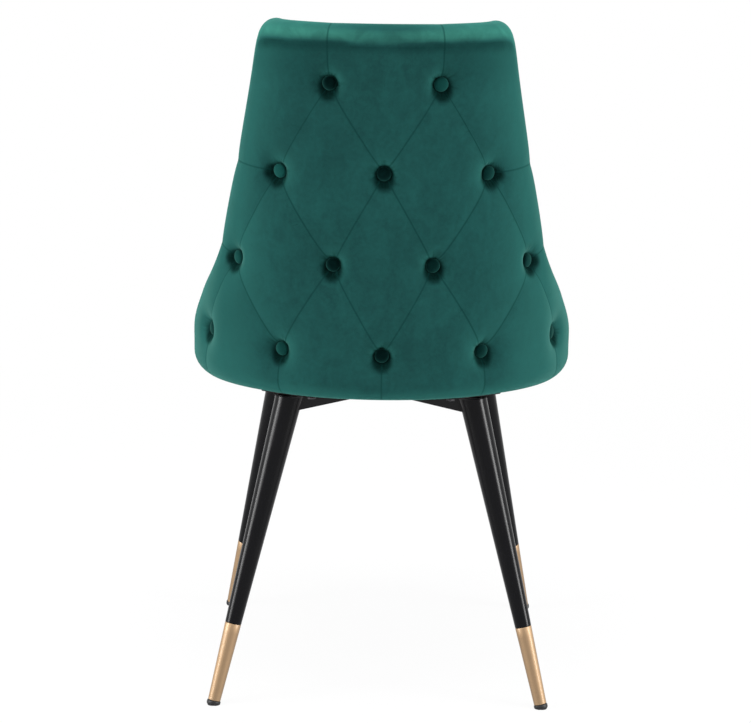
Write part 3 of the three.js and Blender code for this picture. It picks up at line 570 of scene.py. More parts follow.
def give_values(piece, name, values):
    attribute = piece.data.attributes.new(name, "FLOAT", "POINT")
    attribute.data.foreach_set("value", np.asarray(values, np.float32))


def give_map(piece, name, across, down):
    """A UV map that holds two values for each point, such as its place in the buttons' lattice."""
    layer = piece.data.uv_layers.new(name=name)
    corner = np.zeros(len(piece.data.loops), np.int32)
    piece.data.loops.foreach_get("vertex_index", corner)
    layer.data.foreach_set("uv", np.stack([across[corner], down[corner]], -1).astype(np.float32).ravel())


def shade_smooth(piece, angle=None):
    piece.data.polygons.foreach_set("use_smooth", [True] * len(piece.data.polygons))
    if angle:
        piece.data.set_sharp_from_angle(angle=math.radians(angle))


nose_steps = 8
nose_run = 0.06
grid = both_sides(shell_grid(spacing=0.0035, middle_rows=104, noses=nose_steps))
arc, height, from_rim, from_foot, nose_drop = (grid[..., k] for k in range(5))
in_nose = np.zeros(grid.shape[:2], bool)
in_nose[:nose_steps + 1] = in_nose[-nose_steps - 1:] = True
plan_y = on_shell(arc, height, 0 * arc)[..., 1] - plan_shift
toward_rim = np.clip(1 - (from_rim + nose_drop) / rim_radius, 0, 1)
toward_front = np.clip(1 - (plan_y - shell_front) / rim_radius, 0, 1)
toward_foot = np.clip(1 - (from_foot + nose_drop * foot_radius / rim_radius) / foot_radius, 0, 1)
behind_nose = np.clip((plan_y - shell_front - rim_radius) / nose_run, 0, 1)
foot_tuck = rim_radius + (foot_radius - rim_radius) * behind_nose
rounding = 1 - np.sqrt(1 - np.clip(toward_rim**2 + toward_front**2 + toward_foot**2, 0, 1))
outer_depth = rounding * np.where(toward_foot > 0, foot_tuck, rim_radius)
# Inside, the layer is hollow where the plywood lies; round the rim and in the noses it is full to the inside.
rows = np.arange(grid.shape[1])
hollow = np.where(rows < 2, foot_radius + hem_step, hollow_depth)
past_hollow = rows >= grid.shape[1] - edge_rows
inner_depth = np.where(in_nose | past_hollow, shell_thickness - rounding * rim_radius, hollow)
outer_cover, cover_values, cover_inside = closed_layer("outer_back_cover", grid, outer_depth, inner_depth)


def eased(value, start, end):
    """Rises smoothly from 0, where the value is at start, to 1, where it is at end."""
    share = np.clip((value - start) / (end - start), 0, 1)
    return share * share * (3 - 2 * share)


# Over the top roll and under the foot the pleats are only creases, so that both edges stay smooth.
cover_arc, cover_height, from_rim, from_foot = cover_values[:, :4].T
roll_start, roll_full = 0.845, 0.865
inside_reach = 0.016
at_top = eased(cover_height, roll_start, roll_full)
inner_fade = np.clip(1 - from_rim / inside_reach, 0, 1)
pull_place = (cover_height - pull_heights[0]) / pull_step, (cover_arc - pull_arcs[0]) / pull_step
pull = sampled(pulled, *pull_place) * np.where(cover_inside > 0, inner_fade, 1)
pull *= (1 - at_top * (0.8 - 0.8 * eased(from_rim, 0, 0.030))) * eased(from_foot, 0.004, 0.026)
outward = np.zeros(len(pull) * 3)
outer_cover.data.vertex_normals.foreach_get("vector", outward)
write_points(outer_cover.data, read_points(outer_cover.data) - outward.reshape(-1, 3) * pull[:, None])
cover_across, cover_down = lattice_place(cover_arc, cover_height)
give_map(outer_cover, "lattice", cover_across, cover_down)
cover_aside, cover_above = from_button(cover_arc, cover_height)
give_map(outer_cover, "round_button", cover_aside, cover_above)
# Painted shade: the colour is nearly black in the pocket under each button and in the side pleats' mouths.
pocket_half_width, pocket_half_height, pocket_drop = 0.0133, 0.0152, 0.0050
mouth_half_width, mouth_half_height, mouth_aside, mouth_drop = 0.0165, 0.0105, 0.0045, 0.0015
under = np.hypot(cover_aside / pocket_half_width, (cover_above + pocket_drop) / pocket_half_height)
outward_way = np.sign(cover_arc) * cover_aside
side_across = np.abs(cover_across)
at_side = (side_across > 0.9) & (np.abs(cover_down - 1.5) < 0.8) & (side_across > 0.3 + cover_down / 2)
mouth = np.hypot(
    (outward_way - mouth_aside) / mouth_half_width, (cover_above + mouth_drop) / mouth_half_height)
nearer = np.where(at_side, np.minimum(under, mouth), under)
give_values(outer_cover, "laid", eased(nearer, 1.3, 0.75))
# Over the rolled rim the colour is a painted highlight, where the top roll faces the light; at its crest
# and just below the roll it is painted shade.
to_corner = eased(np.abs(cover_arc), 0, 0.11)
wander = 0.0006 * np.sin(61 * cover_arc + 1) + 0.0004 * np.sin(153 * cover_arc + 2)
roll_width, corner_narrowing, roll_blend = 0.0268, 0.0035, 0.0095
roll_edge = roll_width - corner_narrowing * to_corner + wander
over_rim = eased(from_rim, roll_edge, roll_edge - roll_blend)
painted_roll_light = over_rim * (0.35 + 0.65 * eased(from_rim, 0, 0.013)) * (0.38 + 0.42 * to_corner)
painted_roll_shade = eased(from_rim, roll_edge - 0.003, roll_edge + 0.002) * eased(from_rim, 0.055, 0.029)
on_crest = (1 - to_corner) * eased(from_rim, 0.011, 0.002)
nap = at_top * (painted_roll_light - 0.5 * on_crest - painted_roll_shade * (1.2 - 0.45 * to_corner))
# It is painted a little darker by the top corners and low on one flank too.
patch_darkening = 0.17
flank_arc, flank_height, flank_width, flank_rise = 0.215, 0.505, 0.055, 0.05
by_corner = to_corner * eased(cover_height, 0.80, 0.835) * eased(from_rim, roll_edge, roll_edge + 0.01)
on_flank = ((cover_arc - flank_arc) / flank_width) ** 2 + ((cover_height - flank_height) / flank_rise) ** 2
nap -= patch_darkening * (by_corner + np.exp(-on_flank))
give_values(outer_cover, "nap", nap)
shade_smooth(outer_cover)


def noise(tree, scale, detail, distortion=0.0, stretch=(1, 1, 1)):
    """Cloudy noise that stays with the piece."""
    place = new_node(tree, "ShaderNodeTexCoord")["Object"]
    place = new_node(tree, "ShaderNodeMapping", {"Vector": place, "Scale": stretch})[0]
    inputs = {"Vector": place, "Scale": scale, "Detail": detail, "Distortion": distortion}
    return Varying(new_node(tree, "ShaderNodeTexNoise", inputs)["Fac"])


def mixed(share, first, second):
    """A colour between two, each plain or worked out by another node."""
    first, second = ((*colour, 1) if isinstance(colour, tuple) else colour for colour in (first, second))
    return new_node(share.tree, "ShaderNodeMix", {"Factor": share, 6: first, 7: second}, data_type="RGBA")[2]


def surfaced(shader, colour, height, strength, depth):
    """Feeds a colour and a fine relief to a material's shader."""
    inputs = {"Height": height, "Strength": strength, "Distance": depth}
    bump = new_node(height.tree, "ShaderNodeBump", inputs)[0]
    height.tree.links.new(colour, shader.inputs["Base Color"])
    height.tree.links.new(bump, shader.inputs["Normal"])


def pleat_nearness(across, down):
    """Distance to the nearest pleat, worked out in the material from the place in the buttons' lattice."""
    half_down = down * 0.5
    one_way = (across + half_down + 20.5).worked("PINGPONG", 0.5)
    other_way = (across - half_down + 20.5).worked("PINGPONG", 0.5)
    sideways = abs(across)
    past_side = (sideways - (half_down + 0.5)).most(0.0) * usual_pitch
    past_rows = (down * -1.0).most(down - 3.0).most(0.0) * usual_drop
    crossed = one_way.least(other_way) * pleat_span + (past_side + past_rows)
    over_top = abs(sideways - 0.5) * usual_pitch + down.most(0.0) * usual_drop
    nearest = crossed.least(over_top)
    for row, rise in side_pleats:
        past_button = sideways - (0.5 + row / 2)
        level_with = abs(down - float(row) + past_button.most(0.0) * rise)
        nearest = nearest.least(level_with * usual_drop + past_button.least(0.0) * -usual_pitch)
    in_line = (across + 20.0).worked("PINGPONG", 0.5).most(sideways - 2.0)
    return nearest.least(in_line * usual_pitch + (3.0 - down).most(0.0) * usual_drop)


velvet_tones = ((0.0085, 0.0410, 0.0390), (0.0120, 0.0665, 0.0615))
painted_sheen_tone, painted_edge_sheen_tone = (0.022, 0.110, 0.096), (0.082, 0.204, 0.174)
painted_roll_light_tone, painted_shade_and_patch_tone, painted_pocket_shade_tone = (0.038, 0.186, 0.144), (0.001, 0.010, 0.010), (0.0001, 0.0006, 0.0006)
painted_fold_shade_tone, painted_crease_shade_tone, fleck_tone = (0.001, 0.010, 0.009), (0.0015, 0.018, 0.0165), (0.012, 0.075, 0.066)
lit_button_tone = (0.010, 0.085, 0.074)


def velvet(name, tones=velvet_tones, sheen=0.10, pleated=False, toned=False):
    """Cut velvet: dark square on, bright where grazed by its sheen and a painted sheen; faint brushed
    patches.
    """
    cloth, tree, shader = new_finish(name, {
        "Roughness": 0.85, "Specular IOR Level": 0.0, "Sheen Weight": sheen, "Sheen Roughness": 0.55,
        "Sheen Tint": (0.17, 0.88, 0.74, 1)})

    def attribute(attribute_name):
        return Varying(new_node(tree, "ShaderNodeAttribute", attribute_name=attribute_name)["Fac"])

    def map_values(map_name):
        pair = new_node(tree, "ShaderNodeUVMap", uv_map=map_name)[0]
        split = new_node(tree, "ShaderNodeSeparateXYZ", {0: pair})
        return Varying(split["X"]), Varying(split["Y"])

    brushed = noise(tree, scale=7, detail=4, distortion=0.8, stretch=(1, 1, 0.6))
    streaks = noise(tree, scale=38, detail=4, distortion=1.2, stretch=(1, 1, 0.7))
    mottled = noise(tree, scale=190, detail=3, distortion=0.6)
    pile = noise(tree, scale=700, detail=2)
    patches = brushed * 0.42 + streaks * 0.33 + mottled * 0.25
    colour = mixed(patches.ramp(0.38, 0.62), *tones)
    # Painted highlight: some buttons are mixed lighter, by their tone, where they catch more light.
    if toned:
        colour = mixed(attribute("tone"), colour, lit_button_tone)
    relief = pile * 0.35
    # Painted sheen: the colour is mixed lighter where the surface is grazed, and half as much on a button.
    facing = Varying(new_node(tree, "ShaderNodeLayerWeight", {"Blend": 0.5})["Facing"])
    painted_sheen_share = 0.5 if toned else 1.0  # a button's pile is short and tight, so less of it catches the light
    colour = mixed(facing.ramp(0.05, 0.46, end=0.50 * painted_sheen_share, smooth=True), colour, painted_sheen_tone)
    colour = mixed(facing.ramp(0.45, 0.95, end=0.45 * painted_sheen_share, smooth=True), colour, painted_edge_sheen_tone)
    if pleated:
        # Painted highlight over the rolled rim, painted shade at its crest and below it, and darker patches.
        nap = attribute("nap") * streaks.ramp(0.35, 0.65, start=0.72, end=1.2)
        colour = mixed(nap.worked("MAXIMUM", 0.0, True), colour, painted_roll_light_tone)
        colour = mixed(nap.worked("MULTIPLY", -1.0, True), colour, painted_shade_and_patch_tone)
        # Painted shade in the pockets under the buttons and in the side pleats' mouths.
        colour = mixed(attribute("laid") * 0.97, colour, painted_pocket_shade_tone)
        # Small folds fan out from each button, from noise that depends on the direction to it. Their colour
        # is painted shade, and they sink into the relief.
        aside, above = map_values("round_button")
        reach = (aside * aside + above * above).worked("SQRT").most(0.001)
        fan = {0: aside / reach, 1: above / reach, 2: brushed * 9.0}
        fan = new_node(tree, "ShaderNodeCombineXYZ", fan)[0]
        folds = new_node(tree, "ShaderNodeTexNoise", {"Vector": fan, "Scale": 2.6, "Detail": 1.5})["Fac"]
        fold = Varying(folds).ramp(0.5, 0.72) * reach.ramp(0.010, 0.027, start=1.0, end=0.0, smooth=True)
        colour = mixed(fold * 0.6, colour, painted_fold_shade_tone)
        relief = relief - fold * 2.4
        # The pleats' lines are painted shade in their colour, and grooves in the relief.
        crease = pleat_nearness(*map_values("lattice")).ramp(0.0002, 0.0019, start=0.52, end=0.0, smooth=True)
        colour = mixed(crease, colour, painted_crease_shade_tone)
        relief = relief - crease * 1.6
    if not toned:
        colour = mixed(pile.ramp(0, 1, end=0.2), colour, fleck_tone)
    surfaced(shader, colour, relief, strength=0.35, depth=0.0006)
    return cloth


pleated_velvet = velvet("pleated_velvet", pleated=True)
outer_cover.data.materials.append(pleated_velvet)
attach(outer_cover, "root")
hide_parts("outer_back_pad")

# ---- padded inside of the back -----------------------------------------------
# A thinner foam pad under plain velvet, set into the rim of the shell. It swells a little towards the sitter
# and is pulled tight into the seam all round.
pad_inset = rim_radius + 0.002
pad_back_depth = 0.0302
pad_foot = 0.4213
pad_spacing = 0.006
swell_run, pad_tuck, pad_swell = 0.045, 0.004, 0.0085
pad_grid = both_sides(shell_grid(pad_spacing, middle_rows=62, inset=pad_inset, foot_height=pad_foot))
seam_near = pad_grid[..., 2] - pad_inset
column_run = np.arange(pad_grid.shape[0]) * pad_spacing
seam_near = np.minimum(seam_near, np.minimum(column_run, column_run[::-1])[:, None])
swell = np.clip(seam_near / swell_run, 0, 1)
crown = pad_swell * np.sqrt(1 - (1 - swell) ** 2) - pad_tuck
inner_pad, _, _ = closed_layer("inner_back_cushion", pad_grid, pad_back_depth, shell_thickness + crown)
shade_smooth(inner_pad)
plain_velvet = velvet("plain_velvet")
inner_pad.data.materials.append(plain_velvet)
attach(inner_pad, "root")
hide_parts("inner_back_pad")

# ---- welt round the inside of the rim ----------------------------------------
# A velvet-covered cord sewn into the seam between the rolled rim and the inside pad. At the front of each
# wing it runs straight down beside the seat.
welt_radius = 0.0026
welt_foot = 0.470
welt_proud = 0.0005
welt_inset = rim_radius + welt_proud
welt_line = both_sides(shell_grid(0.006, middle_rows=2, inset=welt_inset, foot_height=pad_foot))[:, -1]
welt_points = on_shell(welt_line[:, 0], welt_line[:, 1], shell_thickness + welt_proud)
down_front = np.linspace(1, 0, 8)[:, None]
front_low = welt_points[[0, -1]] * (1, 1, 0) + (0, 0, welt_foot)
left_drop = front_low[0] + (welt_points[0] - front_low[0]) * (1 - down_front)
right_drop = front_low[1] + (welt_points[-1] - front_low[1]) * down_front
welt_points = np.concatenate([left_drop[:-1], welt_points, right_drop[1:]])
welt = new_piece("back_welt", welt_points.tolist(), [(i, i + 1) for i in range(len(welt_points) - 1)])


def growing_tree(name, inputs):
    """A geometry tree with named inputs of these kinds, and the outputs of its input node."""
    tree = bpy.data.node_groups.new(name, "GeometryNodeTree")
    for label, kind in inputs.items():
        tree.interface.new_socket(label, in_out="INPUT", socket_type=f"NodeSocket{kind}")
    tree.interface.new_socket("Made piece", in_out="OUTPUT", socket_type="NodeSocketGeometry")
    return tree, new_node(tree, "NodeGroupInput")


def end_tree(tree, geometry, finish):
    """Ends a tree: its instances are made real and get their material."""
    real = new_node(tree, "GeometryNodeRealizeInstances", {0: geometry})[0]
    finished = new_node(tree, "GeometryNodeSetMaterial", {"Geometry": real, "Material": finish})[0]
    new_node(tree, "NodeGroupOutput", {0: finished})


def made_mesh(piece):
    """The plain mesh that a piece's modifiers make. The modifiers are removed."""
    bpy.context.view_layer.update()
    mesh = bpy.data.meshes.new_from_object(piece.evaluated_get(bpy.context.evaluated_depsgraph_get()))
    piece.modifiers.clear()
    return mesh


def grown(piece, tree, values):
    """Runs a geometry tree on a piece and leaves the piece with the plain mesh it makes."""
    growth = piece.modifiers.new("growth", "NODES")
    growth.node_group = tree
    for socket in tree.interface.items_tree:
        if socket.name in values:
            growth[socket.identifier] = values[socket.name]
    piece.update_tag()
    piece.data = made_mesh(piece)
    piece.data.name = piece.name


cord_inputs = {"Path": "Geometry", "Cord radius": "Float", "Cloth": "Material"}
cord_tree, cord_in = growing_tree("sewn_cord", cord_inputs)
cord_path = new_node(cord_tree, "GeometryNodeMeshToCurve", {0: cord_in["Path"]})[0]
round_cord = {"Radius": cord_in["Cord radius"], "Resolution": 12}
round_cord = new_node(cord_tree, "GeometryNodeCurvePrimitiveCircle", round_cord)[0]
swept = {"Curve": cord_path, "Profile Curve": round_cord, "Fill Caps": True}
end_tree(cord_tree, new_node(cord_tree, "GeometryNodeCurveToMesh", swept)[0], cord_in["Cloth"])
grown(welt, cord_tree, {"Cord radius": welt_radius, "Cloth": plain_velvet})
shade_smooth(welt, angle=60)
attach(welt, "root")

# ---- seat cushion ------------------------------------------------------------
# A foam seat with a crowned top and a front border that hangs over the edge of the board, covered in the same
# velvet. The cover is blown up like a skin over the foam, then settles; a sewn seam runs along its front.
seat_foot = 0.4213
seat_side_foot = 0.406
seat_front = -0.272 + plan_shift
seat_inset = rim_radius + 0.0003
seat_gap = 0.001
seat_line = both_sides(shell_grid(0.010, middle_rows=2, inset=seat_inset, foot_height=seat_side_foot))[:, 0]
seat_sides = on_shell(seat_line[:, 0], seat_line[:, 1], shell_thickness + seat_gap)[:, :2]
seat_edge = float(seat_sides[-1, 0]) - seat_gap
seat_corner = 0.014
corner_turn = np.linspace(0, math.pi / 2, 6)
right_corner = np.stack([
    seat_edge - seat_corner * (1 - np.cos(corner_turn)),
    seat_front + seat_corner * (1 - np.sin(corner_turn))], -1)
front_run = np.linspace(right_corner[-1, 0], -right_corner[-1, 0], 26)[1:-1]
front_edge = np.stack([front_run, np.full(len(front_run), seat_front)], -1)
left_corner = right_corner[::-1] * (-1, 1)
seat_outline = np.concatenate([seat_sides, right_corner, front_edge, left_corner])[::-1]
seat_middle = np.array([0, -0.025 + plan_shift])
seat_half = 0.23
seat_rings = [  # how far in from the outline, at the half width, and how high
    (0.0010, seat_foot + 0.001), (0.0004, 0.430), (0.0004, 0.440), (0.0012, 0.447), (0.0040, 0.4545),
    (0.0100, 0.4610), (0.0190, 0.4660), (0.0380, 0.4700), (0.0760, 0.4735), (0.1200, 0.4750),
    (0.1700, 0.4755),
]
seat_points = []
for inset, z in seat_rings:
    ring = seat_middle + (seat_outline - seat_middle) * (1 - inset / seat_half)
    seat_points.append(np.column_stack([ring, np.full(len(ring), z)]))
seat_poles = [[(*seat_middle, z)] for z in (seat_foot + 0.001, 0.4757)]
seat_points = np.concatenate(seat_points + seat_poles)


def ring_faces(rings, count, around=False):
    """Faces between rings of count points, and from the last ring on to the first where they go around."""
    faces = []
    for ring in range(rings if around else rings - 1):
        here, there = ring * count, (ring + 1) % rings * count
        pairs = [(k, (k + 1) % count) for k in range(count)]
        faces += [(here + k, there + k, there + after, here + after) for k, after in pairs]
    return faces


def capped_rings(rings, count):
    """Faces of a round body whose points are its rings, a pole before the first and a pole after the last."""
    first_pole, last_pole, last = rings * count, rings * count + 1, (rings - 1) * count
    faces = ring_faces(rings, count)
    faces += [(first_pole, k, (k + 1) % count) for k in range(count)]
    return faces + [(last_pole, last + (k + 1) % count, last + k) for k in range(count)]


seat_faces = capped_rings(len(seat_rings), len(seat_outline))
seat_faces = [(face[0], *face[:0:-1]) for face in seat_faces]  # turned over, to face outwards
seat_cover = new_piece("seat_cushion_cover", seat_points.tolist(), faces=seat_faces)
lip_height, lip_foot = 0.046, 0.4045
lip_x = seat_edge - seat_corner * 0.4
lip_ys = (seat_front, shell_front + plan_shift - 0.0004)
lip_points = [(x, y, z) for z in (lip_foot, lip_foot + lip_height) for y in lip_ys for x in (-lip_x, lip_x)]
box_faces = [(0, 2, 3, 1), (4, 5, 7, 6), (0, 1, 5, 4), (2, 6, 7, 3), (0, 4, 6, 2), (1, 3, 7, 5)]
lip = new_piece("seat_lip", lip_points, faces=box_faces)
joined = seat_cover.modifiers.new("joined", "BOOLEAN")
joined.operation = "UNION"
joined.object = lip
voxels = seat_cover.modifiers.new("voxels", "REMESH")
voxels.mode = "VOXEL"
voxels.voxel_size = 0.0055
seat_cover.data = made_mesh(seat_cover)
bpy.data.objects.remove(lip)
at_rest = settled = read_points(seat_cover.data)
stuffing = seat_cover.modifiers.new("stuffing", "CLOTH")
stuffing.settings.use_pressure = True
stuffing.settings.uniform_pressure_force = 4
stuffing.settings.effector_weights.gravity = 0
stuffing.settings.tension_stiffness = 18
stuffing.settings.bending_stiffness = 0.6
settling_frames = 20
scene.frame_start, scene.frame_end = 1, settling_frames
for step in range(1, settling_frames + 1):
    scene.frame_set(step)
shift = read_points(made_mesh(seat_cover)) - at_rest
scene.frame_set(1)
# Only the top moves, less towards the sides, and nowhere by more than the cap.
top_start, top_rise, side_start, side_fade, side_share = 0.452, 0.018, 0.19, 0.03, 0.25
cap = 0.0055
free = np.clip((at_rest[:, 2] - top_start) / top_rise, 0, 1)
free *= np.clip((side_start - np.abs(at_rest[:, 0])) / side_fade + side_share, 0, 1)
reach = np.linalg.norm(shift, axis=1)
settled = at_rest + shift * (np.minimum(reach, cap) / np.maximum(reach, 1e-9) * free)[:, None]
write_points(seat_cover.data, settled)
finer = seat_cover.modifiers.new("finer", "SUBSURF")
finer.levels = finer.render_levels = 1
seat_cover.data = made_mesh(seat_cover)
seam_height, seam_half, seam_depth = 0.4475, 0.0025, 0.0012
seam_reach, seam_fade = 0.03, 0.012
seamed = read_points(seat_cover.data)
near_seam = np.abs(seamed[:, 2] - seam_height)
at_front = np.clip((seat_front + seam_reach - seamed[:, 1]) / seam_fade, 0, 1)
seamed[:, 1] += seam_depth * np.exp(-((near_seam / seam_half) ** 2)) * at_front
write_points(seat_cover.data, seamed)
shade_smooth(seat_cover)
seat_cover.data.materials.clear()
seat_cover.data.materials.append(plain_velvet)
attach(seat_cover, "root")
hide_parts("seat_cushion")

# ---- covered buttons ---------------------------------------------------------
# Fourteen metal shells covered in the same velvet, its colour painted much darker here as painted shade
# where they sit deep in the pockets. Each is drawn in by a tack until it sits down in the foam, and its
# cloth is gathered at the rim.
button_dome = 0.0026
button_body = 0.0030
dome = [  # share of the radius, and how far above the rim
    (0.0, button_dome), (0.3, button_dome * 0.94), (0.55, button_dome * 0.78), (0.78, button_dome * 0.5),
    (0.92, button_dome * 0.18), (0.99, -0.0006), (1.0, -0.0014), (0.95, -0.0023), (0.84, -button_body),
    (0.0, -button_body),
]
button_turns = 32
gathers, gather_depth, gather_start = 7, 0.00016, 0.6
button_points = []
for share, z in dome[1:-1]:
    radius = button_radius * share
    for t in range(button_turns):
        angle = 2 * math.pi * t / button_turns
        gather = gather_depth * math.sin(angle * gathers) * max(0, share - gather_start)
        button_points.append((radius * math.cos(angle), radius * math.sin(angle), z + gather))
button_points += [(0, 0, dome[0][1]), (0, 0, dome[-1][1])]
one_button = new_piece("one_button", button_points, faces=capped_rings(len(dome) - 2, button_turns))
spot_arc, spot_height = button_spots.T
step = 0.002
up_step = on_shell(spot_arc, spot_height + step, 0.0) - on_shell(spot_arc, spot_height - step, 0.0)
round_step = on_shell(spot_arc + step, spot_height, 0.0) - on_shell(spot_arc - step, spot_height, 0.0)
outward = np.cross(up_step, round_step)
outward *= np.sign(outward[:, 1])[:, None] / np.linalg.norm(outward, axis=1)[:, None]
sunk_spots = on_shell(spot_arc, spot_height, 0.0) - outward * button_sink
buttons = new_piece("covered_buttons", sunk_spots.tolist())
facing = buttons.data.attributes.new("outward", "FLOAT_VECTOR", "POINT")
facing.data.foreach_set("vector", outward.astype(np.float32).ravel())
# Some buttons are mixed lighter by their tone, a painted highlight where they catch more light; the order
# is that of button_spots.
give_values(buttons, "tone", (0.0, 0.45, 0.0, 0.6, 0.15, 0.0, 0.08, 0.35, 0.05, 0.0, 0.35, 0.1, 0.0, 0.0))


def set_out(tree, points, thing, way, axis="Z"):
    """A copy of an object at each point, with its own axis turned to lie that way."""
    copy = new_node(tree, "GeometryNodeObjectInfo", {"Object": thing})["Geometry"]
    turn = new_node(tree, "FunctionNodeAlignRotationToVector", {"Vector": way}, axis=axis)[0]
    inputs = {"Points": points, "Instance": copy, "Rotation": turn}
    return new_node(tree, "GeometryNodeInstanceOnPoints", inputs)[0]


button_inputs = {"Spots": "Geometry", "Button": "Object", "Cloth": "Material"}
button_tree, button_in = growing_tree("button_rows", button_inputs)
button_places = new_node(button_tree, "GeometryNodeMeshToPoints", {"Mesh": button_in["Spots"]})[0]
button_facing = new_node(
    button_tree, "GeometryNodeInputNamedAttribute", {"Name": "outward"}, data_type="FLOAT_VECTOR")[0]
button_rows = set_out(button_tree, button_places, button_in["Button"], button_facing)
end_tree(button_tree, button_rows, button_in["Cloth"])
# Painted shade: the buttons' velvet is far darker than the cover's, for the pockets they sit in.
shaded_button_tones = ((0.0005, 0.0036, 0.0035), (0.0014, 0.0085, 0.0080))
button_velvet = velvet("button_velvet", shaded_button_tones, sheen=0.04, toned=True)
grown(buttons, button_tree, {"Button": one_button, "Cloth": button_velvet})
bpy.data.objects.remove(one_button)
shade_smooth(buttons, angle=70)
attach(buttons, "root")
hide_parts(*[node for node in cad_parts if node.startswith("button_row")])

# ---- legs --------------------------------------------------------------------
# Four tapered steel tubes, powder-coated satin black. Each is cut level at the top and welded under its
# plate; its lower end is stepped in to take the tip sleeve.
frame_top = 0.401
leg_top_radius, leg_foot_radius, leg_wall = 0.018, 0.0081, 0.0016
glide_top, sleeve_length, sleeve_wall, fit_gap = 0.0055, 0.104, 0.0009, 0.0003
leg_places = {  # each leg's foot and top on the plan
    "rear_left": ((0.2142, 0.2212), (0.1187, 0.1514)),
    "rear_right": ((-0.2142, 0.2212), (-0.1187, 0.1514)),
    "front_left": ((0.2183, -0.2212), (0.1368, -0.1354)),
    "front_right": ((-0.2183, -0.2212), (-0.1368, -0.1354)),
}


def leg_axis(corner):
    """Where a leg's axis meets the floor, its direction and its length up to the plate."""
    foot, top = leg_places[corner]
    low = Vector((foot[0], foot[1] + plan_shift, 0))
    high = Vector((top[0], top[1] + plan_shift, frame_top))
    return low, (high - low).normalized(), (high - low).length


def leg_radius(along, length):
    return leg_foot_radius + (leg_top_radius - leg_foot_radius) * along / length


def turned(corner, profile, turns=64, level_low=None, level_high=None):
    """A body turned round a leg's axis from a closed profile of radius and distance, cut level if asked."""
    low, way, _ = leg_axis(corner)
    side = way.orthogonal().normalized()
    other = way.cross(side)
    points = []
    for t in range(turns):
        angle = 2 * math.pi * t / turns
        out = side * math.cos(angle) + other * math.sin(angle)
        for radius, along in profile:
            point = low + way * along + out * radius
            if level_high is not None and point.z > level_high:
                point += way * ((level_high - point.z) / way.z)
            if level_low is not None and point.z < level_low:
                point += way * ((level_low - point.z) / way.z)
            points.append(point)
    return points, ring_faces(turns, len(profile), around=True)


def solid_piece(name, parts, sharp=35):
    """One mesh from several lists of points and faces, with doubles merged and faces turned outwards."""
    points, faces = [], []
    for part_points, part_faces in parts:
        start = len(points)
        points += [tuple(p) for p in part_points]
        faces += [tuple(start + v for v in f) for f in part_faces]
    piece = new_piece(name, points, faces=faces)
    tidy = bmesh.new()
    tidy.from_mesh(piece.data)
    bmesh.ops.remove_doubles(tidy, verts=tidy.verts, dist=1e-6)
    bmesh.ops.recalc_face_normals(tidy, faces=tidy.faces)
    tidy.to_mesh(piece.data)
    tidy.free()
    shade_smooth(piece, sharp)
    return piece


def hard_finish(name, colour, rough, metallic, grain, specular=0.5, lacquer=0.0):
    """Bare or coated metal or moulded plastic, a little uneven in colour and gloss, with a fine grain."""
    finish, tree, shader = new_finish(name, {
        "Metallic": metallic, "Specular IOR Level": specular, "Coat Weight": lacquer, "Coat Roughness": 0.22})
    cloud = noise(tree, scale=38, detail=5)
    uneven = cloud.ramp(0, 1, start=rough - 0.05, end=rough + 0.07)
    tree.links.new(uneven.output, shader.inputs["Roughness"])
    tone = mixed(cloud, tuple(c * 0.88 for c in colour), tuple(min(1, c * 1.1) for c in colour))
    surfaced(shader, tone, noise(tree, scale=1400, detail=1), strength=grain, depth=0.0002)
    return finish


black_coat = hard_finish(
    "satin_black_coat", (0.0018, 0.0018, 0.0026), rough=0.22, metallic=0.0, grain=0.03, specular=0.13)
sleeve_top = glide_top + sleeve_length
spigot_foot = glide_top + fit_gap
tube_start = sleeve_top + 0.0012
leg_spare = 0.014  # each tube is made this much longer and cut level
tube_rows = 12
chamfer_in, chamfer_up = 0.0003, 0.0004
for corner in leg_places:
    length = leg_axis(corner)[2]
    spigot = [leg_radius(a, length) - sleeve_wall - fit_gap for a in (spigot_foot, sleeve_top)]
    end = length + leg_spare
    shoulder = leg_radius(sleeve_top, length)
    rows_up = [tube_start + (end - tube_start) * k / tube_rows for k in range(tube_rows + 1)]
    profile = [
        (spigot[0] - leg_wall, spigot_foot), (spigot[0], spigot_foot), (spigot[1], sleeve_top),
        (shoulder - chamfer_in, sleeve_top), (shoulder, sleeve_top + chamfer_up),
        *[(leg_radius(a, length), a) for a in rows_up],
        (leg_radius(end, length) - leg_wall, end), (spigot[1] - leg_wall, sleeve_top),
    ]
    leg = solid_piece(f"{corner}_leg_tube", [turned(corner, profile, level_high=frame_top)])
    leg.data.materials.append(black_coat)
    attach(leg, "root")
    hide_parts(f"leg_{corner}")

# ---- tip sleeves -------------------------------------------------------------
# Thin spun sleeves plated in pale champagne gold. Each is pushed on over the stepped-in end of its leg, flush
# with the black tube above.
pale_gold = hard_finish(
    "pale_gold_plate", (0.262, 0.176, 0.102), rough=0.60, metallic=1.0, grain=0.04, lacquer=0.30)
sleeve_rows = 8
top_chamfer_up = 0.0005
for corner in leg_places:
    length = leg_axis(corner)[2]
    low, high = glide_top + fit_gap, sleeve_top - fit_gap
    low_radius, high_radius = leg_radius(low, length), leg_radius(high, length)
    rows_up = [low + (high - low) * k / sleeve_rows for k in range(1, sleeve_rows)]
    profile = [
        (low_radius - sleeve_wall, low), (low_radius - chamfer_in, low), (low_radius, low + chamfer_up),
        *[(leg_radius(a, length), a) for a in rows_up], (high_radius, high - top_chamfer_up),
        (high_radius - chamfer_in, high), (high_radius - sleeve_wall, high),
    ]
    sleeve = solid_piece(f"{corner}_tip_sleeve", [turned(corner, profile)])
    sleeve.data.materials.append(pale_gold)
    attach(sleeve, "root")
    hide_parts(f"ferrule_{corner}")

